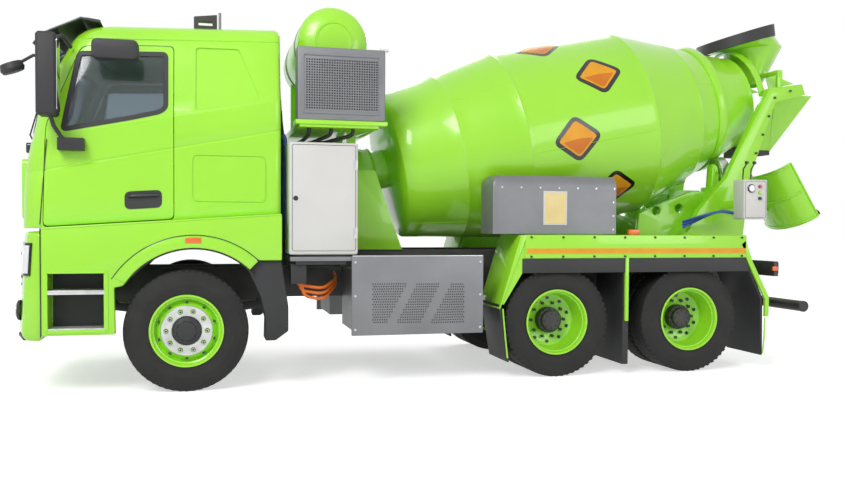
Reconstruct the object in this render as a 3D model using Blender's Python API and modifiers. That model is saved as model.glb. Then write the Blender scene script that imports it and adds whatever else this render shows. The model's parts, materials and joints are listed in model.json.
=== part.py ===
"""Concrete mixer truck, three axles, short cab, drum with rear discharge.

Metres, +Z up. The truck stands on Z = 0 and faces -X; its left side is at -Y.
Stations along the truck are given from the front axle, positive to the rear,
and `sx` turns them into world X, so that the whole truck is centred on X = 0.
"""
import bpy
import bmesh
import math
from mathutils import Matrix, Vector

# ------------------------------------------------------------------ sizes
GAP = 0.0003            # between pieces that touch
# layout, from the front axle
WHEELBASE = 3.386       # first to second axle
BOGIE = 1.401           # second to third axle
FRONT_REACH = 1.50      # front axle to the front mirror's face
REAR_REACH = 6.90       # front axle to the chute's lower end
BODY_HW = 1.25          # half width over the side panels
# wheels
TYRE_R = 0.52
RIM_R = 0.2985
RIM_WALL = 0.014
HUB_R = 0.115
TYRE_W = 0.29
TWIN_PITCH = 0.32       # outer to inner tyre
FRONT_TRACK_HW = 1.07   # half track of the steered wheels
REAR_TRACK_HW = 0.91    # half track, middle of the twins
WHEEL_STEPS = 20
BORE_R = 0.045
SPINDLE = 0.905         # rear spindle tips, from the middle
KINGPIN_Y = 0.86
BEAM_END = 0.075         # beam eye to the kingpin, clear of the turning knuckle
STEER_CLEAR = 0.012      # swept wheel to the step box
STEER_WELL_Z = 0.90      # the swept tyre is short enough above this
STEER_ARM = 0.20
STEER_ARM_Y = 0.80
TIE_Z = 0.40
# frame
RAIL_Y = 0.36           # inner face of a rail
RAIL_W = 0.07
RAIL_Z0 = 0.74
RAIL_H = 0.28
RAIL_FRONT = -1.145
RAIL_REAR = 5.78
SUB_FRONT = 1.45
SUB_REAR = 5.70
SUB_H = 0.17
AXLE_R = 0.08
# cab
CAB_HW = 1.17           # half width at the belt
CAB_ROOF_HW = 1.06      # half width at the roof edge
CAB_FRONT = -1.335
CAB_REAR = 0.80
CAB_Z = 1.40            # underside at the door's front edge
CAB_SLOPE = 0.067       # the underside rises to the rear
FLOOR_Z = 1.60
BELT_Z = 2.12
ROOF_EDGE_Z = 2.99
ROOF_Z = 3.12
WALL = 0.055
DOOR_T = 0.047
DOOR_FRONT = -1.14
HINGE_Y = CAB_HW + 0.016
DOOR_REAR = -0.10
DOOR_TOP = 2.955
DOOR_GAP = 0.006
GLASS_T = 0.006
GLASS_IN = 0.018
# bumper and lower panels
BUMPER_FRONT = -1.41
BUMPER_REAR = -1.145
BUMPER_Z0 = 0.46
BUMPER_Z1 = 1.36
PANEL_IN = 0.93         # inner face of the step box
STEP_REAR = -0.60
ARCH_X = 0.06
ARCH_Z = 0.56
ARCH_R = 0.67
LEG_Z = 1.12            # underside of the panel behind the arch
# body behind the cab
CABINET_X0 = 0.862
CABINET_L = 0.604
CABINET_Z0 = 1.169
CABINET_H = 0.982
CABINET_D = 0.42
SKIRT_X0 = 1.413
SKIRT_L = 1.22
SKIRT_Z0 = 0.446
SKIRT_H = 0.712
SKIRT_T = 0.035
COOLER_X0 = 0.946
COOLER_L = 0.794
COOLER_Z0 = 2.362
COOLER_H = 0.649
COOLER_Y = 1.10
COOLER_D = 0.19
TANK_X = 1.31
TANK_Z = 3.13
TANK_R = 0.325
TANK_HL = 0.86
# drum, along its own axis from its middle
DRUM_TILT = math.radians(11.8)
DRUM_X = 3.90
DRUM_Z = 2.422
DRUM_R = 0.983
DRUM_HEAD_S = -1.94
DRUM_HEAD_R = 0.728
DRUM_CYL_S0 = -0.73
DRUM_CYL_S1 = 0.659
DRUM_MOUTH_S = 2.09
DRUM_MOUTH_R = 0.497
DRUM_WALL = 0.02
DRUM_STEPS = 28
FLANGE_R = 0.20
FLANGE_S = -2.12
RING_S = 1.592
RING_R = 0.70
RING_W = 0.09
HOOP_R = 0.57
ROLLER_R = 0.13
ROLLER_W = 0.11
ROLLER_ANGLE = math.radians(32.0)
# rear stand
STAND_Y = 0.65          # middle plane of the posts
STAND_T = 0.09
# chute
CHUTE_TILT = math.radians(57.6)
CHUTE_L = 0.715
CHUTE_HW = 0.405
CHUTE_DEPTH = 0.282
CHUTE_T = 0.012
CHUTE_Z = 1.554         # lower rims
CHUTE_PIVOT_X = 6.02
CHUTE_PIVOT_R = 0.045
# rear fenders
FENDER_X0 = WHEELBASE - 0.344
FENDER_L = 2.35
FENDER_Z0 = 1.125
FENDER_H = 0.223
FENDER_T = 0.06
GUARD_X0 = FENDER_X0 - 0.302
GUARD_LOW = 1.20         # the sheet guard's lower edge behind the rail
GUARD_L = 1.25
GUARD_TOP = 1.91
# rear end
BEAM_X = 5.81
UNDERRUN_X = 6.14
UNDERRUN_Z = 0.615
UNDERRUN_R = 0.055
REAR_HW = 1.15

X_FRONT = -(REAR_REACH - FRONT_REACH) / 2


def sx(x):
    return X_FRONT + x


def sill(x):
    return CAB_Z + CAB_SLOPE * (x + 1.14)


# ------------------------------------------------------------------ scene
for ob in list(bpy.data.objects):
    bpy.data.objects.remove(ob, do_unlink=True)
parts = bpy.data.collections.new("concrete_mixer_truck")
cutters = bpy.data.collections.new("cutters")
bpy.context.scene.collection.children.link(parts)
bpy.context.scene.collection.children.link(cutters)


def material(name, rgb, rough, metal=0.0):
    m = bpy.data.materials.new(name)
    m.use_nodes = True
    b = m.node_tree.nodes["Principled BSDF"]
    b.inputs["Base Color"].default_value = (*rgb, 1)
    b.inputs["Roughness"].default_value = rough
    b.inputs["Metallic"].default_value = metal
    m.diffuse_color = (*rgb, 1)
    return m


LIME = ((0.36, 0.80, 0.05), 0.3, 0.0)
BLACK = ((0.02, 0.02, 0.022), 0.6, 0.0)
DARK = ((0.05, 0.05, 0.055), 0.45, 0.3)
RUBBER = ((0.025, 0.025, 0.025), 0.85, 0.0)
GREY = ((0.35, 0.36, 0.37), 0.4, 0.8)
PALE = ((0.75, 0.75, 0.74), 0.45, 0.0)
GLASS = ((0.05, 0.07, 0.08), 0.05, 0.0)
SEAT = ((0.08, 0.08, 0.09), 0.8, 0.0)


def finish(ob, look, coll=None):
    """Link the object, give it its material and round shading."""
    (coll or parts).objects.link(ob)
    if look:
        ob.data.materials.append(material(ob.name + "_mat", *look))
    return ob


def baked(ob):
    """The curve or modified object as a plain closed mesh in world space."""
    bpy.context.scene.collection.objects.link(ob)
    bpy.context.view_layer.update()
    dg = bpy.context.evaluated_depsgraph_get()
    me = bpy.data.meshes.new_from_object(ob.evaluated_get(dg))
    me.transform(ob.matrix_world)
    name = ob.name
    bpy.data.objects.remove(ob, do_unlink=True)
    bm = bmesh.new()
    bm.from_mesh(me)
    bmesh.ops.remove_doubles(bm, verts=bm.verts, dist=0.00005)
    bmesh.ops.recalc_face_normals(bm, faces=bm.faces)
    bm.to_mesh(me)
    bm.free()
    me.materials.clear()
    me.name = name
    return bpy.data.objects.new(name, me)


def box(name, x0, x1, y0, y1, z0, z1, look=None, coll=None, bevel=0.0):
    """A box between stations x0 and x1."""
    bm = bmesh.new()
    bmesh.ops.create_cube(bm, size=1.0)
    size = Vector((abs(x1 - x0), abs(y1 - y0), abs(z1 - z0)))
    mid = Vector((sx((x0 + x1) / 2), (y0 + y1) / 2, (z0 + z1) / 2))
    bmesh.ops.scale(bm, vec=size, verts=bm.verts)
    bmesh.ops.translate(bm, vec=mid, verts=bm.verts)
    me = bpy.data.meshes.new(name)
    bm.to_mesh(me)
    bm.free()
    ob = bpy.data.objects.new(name, me)
    if bevel:
        m = ob.modifiers.new("Bevel", "BEVEL")
        m.width = bevel
        m.segments = 1
    return finish(ob, look, coll)


def plate(name, pts, y0, y1, look=None, coll=None):
    """A flat outline of (station, height) points, thick from y0 to y1."""
    cu = bpy.data.curves.new(name, "CURVE")
    cu.dimensions = "2D"
    cu.fill_mode = "BOTH"
    cu.extrude = abs(y1 - y0) / 2
    sp = cu.splines.new("POLY")
    sp.points.add(len(pts) - 1)
    for i, (x, z) in enumerate(pts):
        sp.points[i].co = (sx(x), z, 0, 1)
    sp.use_cyclic_u = True
    ob = bpy.data.objects.new(name, cu)
    ob.rotation_euler = (math.pi / 2, 0, 0)
    ob.location = (0, (y0 + y1) / 2, 0)
    return finish(baked(ob), look, coll)


def across(name, pts, x0, x1, look=None, coll=None):
    """A flat outline of (y, height) points, thick from station x0 to x1."""
    cu = bpy.data.curves.new(name, "CURVE")
    cu.dimensions = "2D"
    cu.fill_mode = "BOTH"
    cu.extrude = abs(x1 - x0) / 2
    sp = cu.splines.new("POLY")
    sp.points.add(len(pts) - 1)
    for i, (y, z) in enumerate(pts):
        sp.points[i].co = (y, z, 0, 1)
    sp.use_cyclic_u = True
    ob = bpy.data.objects.new(name, cu)
    ob.matrix_world = Matrix(((0, 0, 1, sx((x0 + x1) / 2)), (1, 0, 0, 0), (0, 1, 0, 0), (0, 0, 0, 1)))
    return finish(baked(ob), look, coll)


def turned(name, profile, at, axis, steps, look=None, coll=None):
    """A profile of (radius, height) points turned about the axis at a world point.

    It runs down the outer side; it closes on itself unless it ends on the axis.
    """
    me = bpy.data.meshes.new(name)
    n = len(profile)
    open_ended = profile[0][0] == 0 and profile[-1][0] == 0
    edges = [(i, i + 1) for i in range(n - 1)]
    if not open_ended:
        edges.append((n - 1, 0))
    me.from_pydata([(r, 0, h) for r, h in profile], edges, [])
    ob = bpy.data.objects.new(name, me)
    m = ob.modifiers.new("Screw", "SCREW")
    m.angle = 2 * math.pi
    m.steps = steps
    m.render_steps = steps
    m.use_merge_vertices = True
    m.merge_threshold = 0.0001
    m.use_smooth_shade = True
    turn = Vector((0, 0, 1)).rotation_difference(Vector(axis)).to_matrix().to_4x4()
    half = Matrix.Rotation(math.pi / steps, 4, "Z")
    ob.matrix_world = Matrix.Translation(at) @ turn @ half
    return finish(baked(ob), look, coll)


def rod(name, pts, radius, look=None, coll=None, sides=2):
    """A round bar through world points."""
    cu = bpy.data.curves.new(name, "CURVE")
    cu.dimensions = "3D"
    cu.bevel_depth = radius
    cu.bevel_resolution = sides
    cu.use_fill_caps = True
    sp = cu.splines.new("POLY")
    sp.points.add(len(pts) - 1)
    for i, p in enumerate(pts):
        sp.points[i].co = (*p, 1)
    return finish(baked(bpy.data.objects.new(name, cu)), look, coll)


def loft(name, rings, look=None, coll=None):
    """A closed solid through rings of equally many world points."""
    n = len(rings[0])
    verts = [p for ring in rings for p in ring]
    faces = []
    for k in range(len(rings) - 1):
        for i in range(n):
            j = (i + 1) % n
            faces.append((k * n + i, k * n + j, (k + 1) * n + j, (k + 1) * n + i))
    faces.append(tuple(range(n)))
    faces.append(tuple((len(rings) - 1) * n + i for i in range(n)))
    me = bpy.data.meshes.new(name)
    me.from_pydata(verts, [], faces)
    bm = bmesh.new()
    bm.from_mesh(me)
    bmesh.ops.recalc_face_normals(bm, faces=bm.faces)
    bm.to_mesh(me)
    bm.free()
    return finish(bpy.data.objects.new(name, me), look, coll)


def combine(ob, other, kind):
    """Join, cut or intersect the object with another, which becomes a cutter."""
    m = ob.modifiers.new(kind.title(), "BOOLEAN")
    m.operation = kind
    m.solver = "EXACT"
    m.object = other
    for c in list(other.users_collection):
        c.objects.unlink(other)
    cutters.objects.link(other)
    other.hide_render = True
    other.display_type = "WIRE"
    return ob


def join(ob, *others):
    for o in others:
        combine(ob, o, "UNION")
    return ob


def cut(ob, *others):
    for o in others:
        combine(ob, o, "DIFFERENCE")
    return ob


def on_axis(name, point, *obs):
    """Parent pieces to an empty that lies on their joint's axis."""
    e = bpy.data.objects.new(name, None)
    e.location = point
    parts.objects.link(e)
    for ob in obs:
        ob.parent = e
        ob.matrix_parent_inverse = Matrix.Translation(point).inverted()
    return e


SIDES = (("left", -1), ("right", 1))

# ------------------------------------------------------------------ frame
rail_top = RAIL_Z0 + RAIL_H
sub_top = rail_top + SUB_H
rail_out = RAIL_Y + RAIL_W
frame = box("chassis_frame", RAIL_FRONT + GAP, RAIL_REAR, -rail_out, -RAIL_Y, RAIL_Z0, rail_top, DARK)
join(frame, box("rail_r", RAIL_FRONT + GAP, RAIL_REAR, RAIL_Y, rail_out, RAIL_Z0, rail_top))
for side, s in SIDES:
    join(frame, box("sub_" + side, SUB_FRONT, SUB_REAR, s * (RAIL_Y - 0.01), s * (rail_out - 0.01),
                    rail_top - 0.02, sub_top))
for i, (x, w, z0, z1) in enumerate((
        (-1.05, 0.12, 0.80, 0.98), (0.75, 0.12, 0.80, 0.98), (2.30, 0.12, 0.80, 0.98),
        (4.09, 0.30, 0.78, 1.00), (5.70, 0.10, 0.78, 1.00))):
    join(frame, box("cross_%d" % i, x - w / 2, x + w / 2, -RAIL_Y - 0.02, RAIL_Y + 0.02, z0, z1))
# cab mounts, cabinet outriggers and rear fender outriggers, which end below the guards
arm_top = min(sub_top - 0.01, GUARD_LOW - GAP)
for side, s in SIDES:
    for i, (x0, x1) in enumerate(((-1.04, -0.90), (0.52, 0.70))):
        join(frame, plate("mount_%s_%d" % (side, i),
                          [(x0, rail_top - 0.03), (x1, rail_top - 0.03), (x1, sill(x1) - GAP),
                           (x0, sill(x0) - GAP)],
                          s * (RAIL_Y + 0.005), s * (rail_out - 0.005)))
    join(frame, box("outrigger_" + side, CABINET_X0 + 0.06, CABINET_X0 + CABINET_L - 0.10,
                    s * (RAIL_Y + 0.02), s * (BODY_HW - 0.04), CABINET_Z0 - 0.09, CABINET_Z0 - GAP))
    join(frame, box("outrigger_leg_" + side, CABINET_X0 + 0.06, CABINET_X0 + 0.20,
                    s * (RAIL_Y + 0.02), s * (rail_out - 0.01), rail_top - 0.03, CABINET_Z0 - 0.05))
    for i, x in enumerate((WHEELBASE - 0.30, WHEELBASE + BOGIE / 2, WHEELBASE + BOGIE + 0.30)):
        join(frame, box("fender_arm_%s_%d" % (side, i), x - 0.03, x + 0.03, s * (RAIL_Y + 0.01),
                        s * (BODY_HW - FENDER_T - GAP), arm_top - 0.04, arm_top))

# ------------------------------------------------------------------ suspension and axles
for side, s in SIDES:
    xa, xb = WHEELBASE, WHEELBASE + BOGIE
    xm = (xa + xb) / 2
    zt = TYRE_R + AXLE_R * math.cos(math.pi / 16) + GAP
    plate("bogie_spring_" + side,
          [(xa - 0.10, zt), (xa + 0.10, zt), (xm - 0.30, zt + 0.035), (xm + 0.30, zt + 0.035),
           (xb - 0.10, zt),
           (xb + 0.10, zt), (xb + 0.10, zt + 0.05), (xm + 0.34, zt + 0.14), (xm + 0.18, zt + 0.16),
           (xm + 0.14, zt + 0.32), (xm - 0.14, zt + 0.32), (xm - 0.18, zt + 0.16),
           (xm - 0.34, zt + 0.14),
           (xa - 0.10, zt + 0.05)],
          s * (rail_out + GAP), s * (rail_out + 0.09), DARK)

beam = box("front_axle", -0.06, 0.06, -0.76, 0.76, 0.37, 0.47, DARK)
for side, s in SIDES:
    join(beam, box("beam_eye_" + side, -0.05, 0.05, s * 0.74, s * (KINGPIN_Y - BEAM_END), 0.37, 0.56))
    join(beam, box("beam_upper_" + side, -0.045, 0.045, s * 0.74, s * (KINGPIN_Y + 0.03), 0.60, 0.66))
    join(beam, box("beam_web_" + side, -0.045, 0.045, s * 0.74, s * (KINGPIN_Y - BEAM_END), 0.50, 0.64))
    join(beam, plate("spring_" + side,
                     [(-0.72, 0.645), (-0.12, 0.56), (-0.10, 0.44), (0.10, 0.44), (0.12, 0.56),
                      (0.72, 0.645),
                      (0.72, RAIL_Z0 - GAP), (0.64, RAIL_Z0 - GAP), (0.62, 0.70), (0.0, 0.63),
                      (-0.62, 0.70),
                      (-0.64, RAIL_Z0 - GAP), (-0.72, RAIL_Z0 - GAP)],
                     s * RAIL_Y, s * rail_out))

rear_half = [(0.0, SPINDLE), (0.045, SPINDLE), (0.045, 0.84), (0.19, 0.84), (0.19, 0.66),
             (AXLE_R, 0.62),
             (AXLE_R, 0.30), (0.20, 0.14)]
rear_profile = rear_half + [(r, -h) for r, h in reversed(rear_half)]
for i in (2, 3):
    x = WHEELBASE + (i - 2) * BOGIE
    turned("axle_%d" % i, rear_profile, (sx(x), 0, TYRE_R), (0, 1, 0), 16, DARK)


# ------------------------------------------------------------------ wheels
def tyre_points(mid):
    """One tyre's outer outline from its upper bead to its lower bead."""
    b = TYRE_W / 2
    r = TYRE_R / math.cos(math.pi / WHEEL_STEPS)
    pts = [(RIM_R + 0.01, 0.78 * b), (0.42, b), (r, 0.78 * b)]
    return [(rr, mid + h) for rr, h in pts] + [(rr, mid - h) for rr, h in reversed(pts)]


def wheel_front(name, s):
    """Disc wheel with its tyre; the hub's bore faces the knuckle."""
    edge = 0.135
    inner = RIM_R - RIM_WALL
    prof = [(0, 0.165), (0.075, 0.165), (HUB_R, 0.125), (HUB_R, 0.105), (0.20, 0.105), (inner, 0.065),
            (inner, edge), (RIM_R, edge)]
    prof += tyre_points(0.0)
    prof += [(RIM_R, -edge), (inner, -edge), (inner, 0.05), (0.20, 0.088), (0.11, 0.088), (0.11, 0.0),
             (BORE_R, 0.0), (BORE_R, 0.05), (0, 0.05)]
    return turned(name, prof, (sx(0), s * FRONT_TRACK_HW, TYRE_R), (0, s, 0), WHEEL_STEPS, RUBBER)


def wheel_rear(name, x, s):
    """Two tyres on a pair of back-to-back rims with a deep dish outside."""
    edge = TWIN_PITCH / 2 + 0.135
    inner = RIM_R - RIM_WALL
    prof = [(0, 0.16), (0.10, 0.16), (HUB_R, 0.13), (HUB_R, 0.025), (0.22, 0.025), (inner, 0.04),
            (inner, edge), (RIM_R, edge)]
    prof += tyre_points(TWIN_PITCH / 2)
    prof += tyre_points(-TWIN_PITCH / 2)
    prof += [(RIM_R, -edge), (inner, -edge), (inner, 0.02), (0.22, 0.005), (BORE_R + 0.006, 0.005),
             (BORE_R + 0.006, SPINDLE - REAR_TRACK_HW + 0.0006), (0, SPINDLE - REAR_TRACK_HW + 0.0006)]
    return turned(name, prof, (sx(x), s * REAR_TRACK_HW, TYRE_R), (0, s, 0), WHEEL_STEPS, RUBBER)


for side, s in SIDES:
    kp = s * KINGPIN_Y
    spindle_tip = FRONT_TRACK_HW + 0.05 - 0.0006
    k = turned("knuckle_" + side,
               [(0, spindle_tip), (0.036, spindle_tip), (0.036, KINGPIN_Y + 0.10),
                (0.16, KINGPIN_Y + 0.10),
                (0.16, KINGPIN_Y + 0.075), (0.05, KINGPIN_Y + 0.075), (0.05, KINGPIN_Y - 0.045),
                (0, KINGPIN_Y - 0.045)],
               (sx(0), 0, TYRE_R), (0, s, 0), 20, DARK)
    join(k, box("king_" + side, -0.035, 0.035, kp - 0.035, kp + 0.035, TYRE_R - 0.10, 0.60 - 0.0005))
    join(k, rod("arm_" + side, [(sx(0.05), s * (KINGPIN_Y + 0.085), 0.46),
                                (sx(0.14), s * 0.90, TIE_Z + 0.045),
                                (sx(STEER_ARM), s * STEER_ARM_Y, TIE_Z + 0.045)], 0.018))
    join(k, box("arm_eye_" + side, STEER_ARM - 0.025, STEER_ARM + 0.025, s * (STEER_ARM_Y - 0.025),
                s * (STEER_ARM_Y + 0.025), TIE_Z + 0.0205, TIE_Z + 0.06))
    w = wheel_front("wheel_front_" + side, s)
    on_axis("steer_axis_" + side, (sx(0), kp, TYRE_R), k, w)
tie_y = STEER_ARM_Y
tie = rod("tie_rod", [(sx(STEER_ARM), -tie_y, TIE_Z), (sx(STEER_ARM), tie_y, TIE_Z)], 0.016, DARK)
for side, s in SIDES:
    join(tie, box("tie_eye_" + side, STEER_ARM - 0.025, STEER_ARM + 0.025, s * (tie_y - 0.025),
                  s * (tie_y + 0.025), TIE_Z - 0.02, TIE_Z + 0.02))
on_axis("tie_rod_axis", (sx(STEER_ARM), -tie_y, TIE_Z), tie)

for i in (2, 3):
    for side, s in SIDES:
        x = WHEELBASE + (i - 2) * BOGIE
        w = wheel_rear("wheel_%d_%s" % (i, side), x, s)
        on_axis("wheel_axis_%d_%s" % (i, side), (sx(x), s * REAR_TRACK_HW, TYRE_R), w)

# ------------------------------------------------------------------ cab
SECTIONS = (  # height, front station, half width, underside slope
    (CAB_Z, CAB_FRONT - 0.01, CAB_HW, 0.067),
    (1.80, CAB_FRONT, CAB_HW, 0.067),
    (BELT_Z, CAB_FRONT + 0.05, CAB_HW, 0.067),
    (2.42, CAB_FRONT + 0.12, CAB_HW - 0.035, 0.05),
    (ROOF_EDGE_Z, CAB_FRONT + 0.38, CAB_ROOF_HW, 0.035),
    (ROOF_Z, CAB_FRONT + 0.56, CAB_ROOF_HW - 0.12, 0.035),
)
CORNER_F = 0.20
CORNER_R = 0.06


def cab_solid(name, inset, bottom=None):
    """The cab's outer form moved in by `inset`; `bottom` is a level underside."""
    rings = []
    for k, (z, front, hw, slope) in enumerate(SECTIONS):
        f = front + inset
        r = CAB_REAR - inset
        h = hw - inset
        cf, cr = CORNER_F - inset * 0.6, max(CORNER_R - inset, 0.008)
        plan = [(f, 0.0), (f + 0.015, h - cf), (f + cf * 0.3, h - cf * 0.3), (f + cf, h), (r - cr, h),
                (r, h - cr)]
        plan += [(x, -y) for x, y in reversed(plan[1:])]
        z_in = z - (inset if k == len(SECTIONS) - 1 else 0.0)
        if k == 0:
            z_in = z + (0.0 if inset == 0 else -0.3)
        ring = []
        for x, y in plan:
            zz = z_in + slope * (x + 1.14)
            if k == 0 and bottom is not None:
                zz = bottom
            ring.append((sx(x), y, zz))
        rings.append(ring)
    return loft(name, rings)


def moved(pts, d):
    """An outline moved in by d towards its middle."""
    cx = sum(p[0] for p in pts) / len(pts)
    cz = sum(p[1] for p in pts) / len(pts)
    out = []
    for x, z in pts:
        out.append((x - math.copysign(d, x - cx), z - math.copysign(d, z - cz)))
    return out


cab = cab_solid("cab_shell", 0.0)
cab.data.materials.append(material("cab_shell_mat", *LIME))
cut(cab, cab_solid("cab_inside", WALL, bottom=FLOOR_Z))


def door_outline(d):
    """The door's edge, moved in by d."""
    f, r = DOOR_FRONT + d, DOOR_REAR - d
    low = 1.5 * d - 0.002
    return [(f, sill(f) + low), (r, sill(r) + low), (r, DOOR_TOP - d), (r - 0.6, DOOR_TOP - 0.02 - d),
            (f + 0.29, DOOR_TOP - 0.045 - d), (f + 0.02, 2.22)]


WINDOW = [(-0.98, 2.21), (-0.44, 2.325), (-0.22, 2.38), (-0.17, 2.42), (-0.17, 2.875), (-0.86, 2.85)]
for side, s in SIDES:
    lo, hi = (-1.6, -0.85) if s < 0 else (0.85, 1.6)
    # the doorway takes the wall's thickness only
    way = plate("doorway_" + side, door_outline(0.0), lo, hi)
    cut(way, cab_solid("doorway_core_" + side, WALL + 0.004, bottom=1.0))
    cut(cab, way)
    door = plate("door_" + side, door_outline(DOOR_GAP), lo, hi, LIME)
    combine(door, cab_solid("door_skin_" + side, 0.0, bottom=1.2), "INTERSECT")
    cut(door, cab_solid("door_core_" + side, DOOR_T, bottom=1.0))
    cut(door, plate("window_" + side, WINDOW, lo, hi))
    glass = plate("door_glass_" + side, moved(WINDOW, 0.0004), lo, hi, GLASS)
    combine(glass, cab_solid("glass_skin_" + side, GLASS_IN, bottom=1.0), "INTERSECT")
    cut(glass, cab_solid("glass_core_" + side, GLASS_IN + GLASS_T, bottom=1.0))
    # main mirror on its arms, carried by the door
    y0 = s * (CAB_HW + 0.003)
    mir = box("mirror_" + side, -1.145, -0.99, s * 1.235, s * 1.43, 2.29, 2.95, BLACK, bevel=0.02)
    join(mir, box("mirror_foot_" + side, -1.01, -0.81, s * (CAB_HW + GAP), s * 1.27, 2.03, 2.13))
    join(mir, rod("mirror_arm_" + side, [(sx(-0.96), s * 1.25, 2.10), (sx(-1.03), s * 1.30, 2.22),
                                         (sx(-1.06), s * 1.33, 2.34)], 0.018))
    # hinges just outside the skin, each a door leaf under a cab leaf
    for i, hz in enumerate((1.56, 1.98)):
        for k, (whole, x0, x1, xr, z0) in enumerate(((door, DOOR_FRONT + 0.004, -1.06, -1.10, hz),
                                                     (cab, DOOR_FRONT - 0.004, -1.24, -1.16,
                                                      hz + 0.0405))):
            tag = "%s_%d%d" % (side, i, k)
            join(whole, box("leaf_" + tag, x0, x1, s * (CAB_HW + 0.001), s * (CAB_HW + 0.012), z0,
                            z0 + 0.04))
            join(whole, box("root_" + tag, xr, x1, s * (CAB_HW - 0.03), s * (CAB_HW + 0.008), z0,
                            z0 + 0.04))
            join(whole, turned("hinge_" + tag, [(0, 0.04), (0.014, 0.04), (0.014, 0), (0, 0)],
                               (sx(DOOR_FRONT), s * HINGE_Y, z0), (0, 0, 1), 10))
    on_axis("door_axis_" + side, (sx(DOOR_FRONT), s * HINGE_Y, 2.0), door, glass, mir)

screen = [(-0.98, 2.20), (0.98, 2.20), (0.90, 2.90), (-0.90, 2.90)]
cut(cab, across("screen_cut", screen, -1.6, -0.80))
shield = across("windshield", [(y * 0.9995, z + (0.0004 if z < 2.5 else -0.0004)) for y, z in screen],
                -1.6, -0.80, GLASS)
combine(shield, cab_solid("screen_skin", GLASS_IN, bottom=1.0), "INTERSECT")
cut(shield, cab_solid("screen_core", GLASS_IN + GLASS_T, bottom=1.0))

roof_at = ROOF_Z + 0.035 * (1.14 - 0.70)
plate("sun_visor", [(-0.70, roof_at + GAP * 2), (-0.70, roof_at + 0.02), (-0.86, 3.175), (-1.16, 3.03),
                    (-1.24, 2.93),
                    (-1.228, 2.93), (-1.15, 3.015), (-0.86, 3.158), (-0.76, roof_at + 0.006)], -1.0,
                    1.0, DARK)

fm = turned("front_mirror", [(0, 0.03), (0.085, 0.03), (0.10, 0.0), (0.085, -0.05), (0, -0.06)],
            (sx(-FRONT_REACH + 0.0967), -0.93, 2.72), (0.35, 0.1, -0.93), 20, BLACK)

box("dashboard", -1.14, -0.72, -1.05, 1.05, FLOOR_Z + GAP, 2.12, BLACK, bevel=0.03)
seats = box("seats", -0.05, 0.55, -0.80, 0.80, FLOOR_Z + GAP, FLOOR_Z + 0.22, SEAT)
for side, s in SIDES:
    join(seats, box("cushion_" + side, -0.15, 0.40, s * 0.24, s * 0.78, FLOOR_Z + 0.20, FLOOR_Z + 0.42))
    join(seats, plate("back_" + side, [(0.28, FLOOR_Z + 0.30), (0.44, FLOOR_Z + 0.30),
                                       (0.60, FLOOR_Z + 1.05),
                                       (0.48, FLOOR_Z + 1.05)], s * 0.26, s * 0.76))
wheel_hub = Vector((sx(-0.52), 0.5, 2.20))
tilt = Vector((0.55, 0, 0.83)).normalized()
sw = turned("steering_wheel", [(0.235, 0.012), (0.235, -0.012), (0.205, -0.012), (0.205, 0.012)],
            wheel_hub, tilt, 24, BLACK)
spoke = box("spokes", -0.52 - 0.21, -0.52 + 0.21, 0.5 - 0.025, 0.5 + 0.025, 2.19, 2.21)
spoke.data.transform(Matrix.Translation(wheel_hub)
                     @ Vector((0, 0, 1)).rotation_difference(tilt).to_matrix().to_4x4()
                     @ Matrix.Translation(-wheel_hub))
join(sw, spoke, rod("column", [wheel_hub + tilt * 0.015, wheel_hub - tilt * 0.43], 0.03))
cut(sw, box("column_seat", -1.2, -0.72 + GAP, 0.3, 0.7, FLOOR_Z, 2.12 + GAP))

# ------------------------------------------------------------------ bumper and lower panels
loft("bumper", [[(sx(x), y, z) for x, y in (
    (f, 0.0), (f + 0.02, 0.80), (f + 0.10, 1.14), (BUMPER_REAR, w), (BUMPER_REAR, -w),
    (f + 0.10, -1.14),
    (f + 0.02, -0.80))] for z, f, w in (
        (BUMPER_Z0, BUMPER_FRONT + 0.03, 1.20), (BUMPER_Z0 + 0.06, BUMPER_FRONT, 1.235),
        (0.86, BUMPER_FRONT + 0.02, 1.235), (BUMPER_Z1, BUMPER_FRONT + 0.05, 1.20))], LIME)

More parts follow.
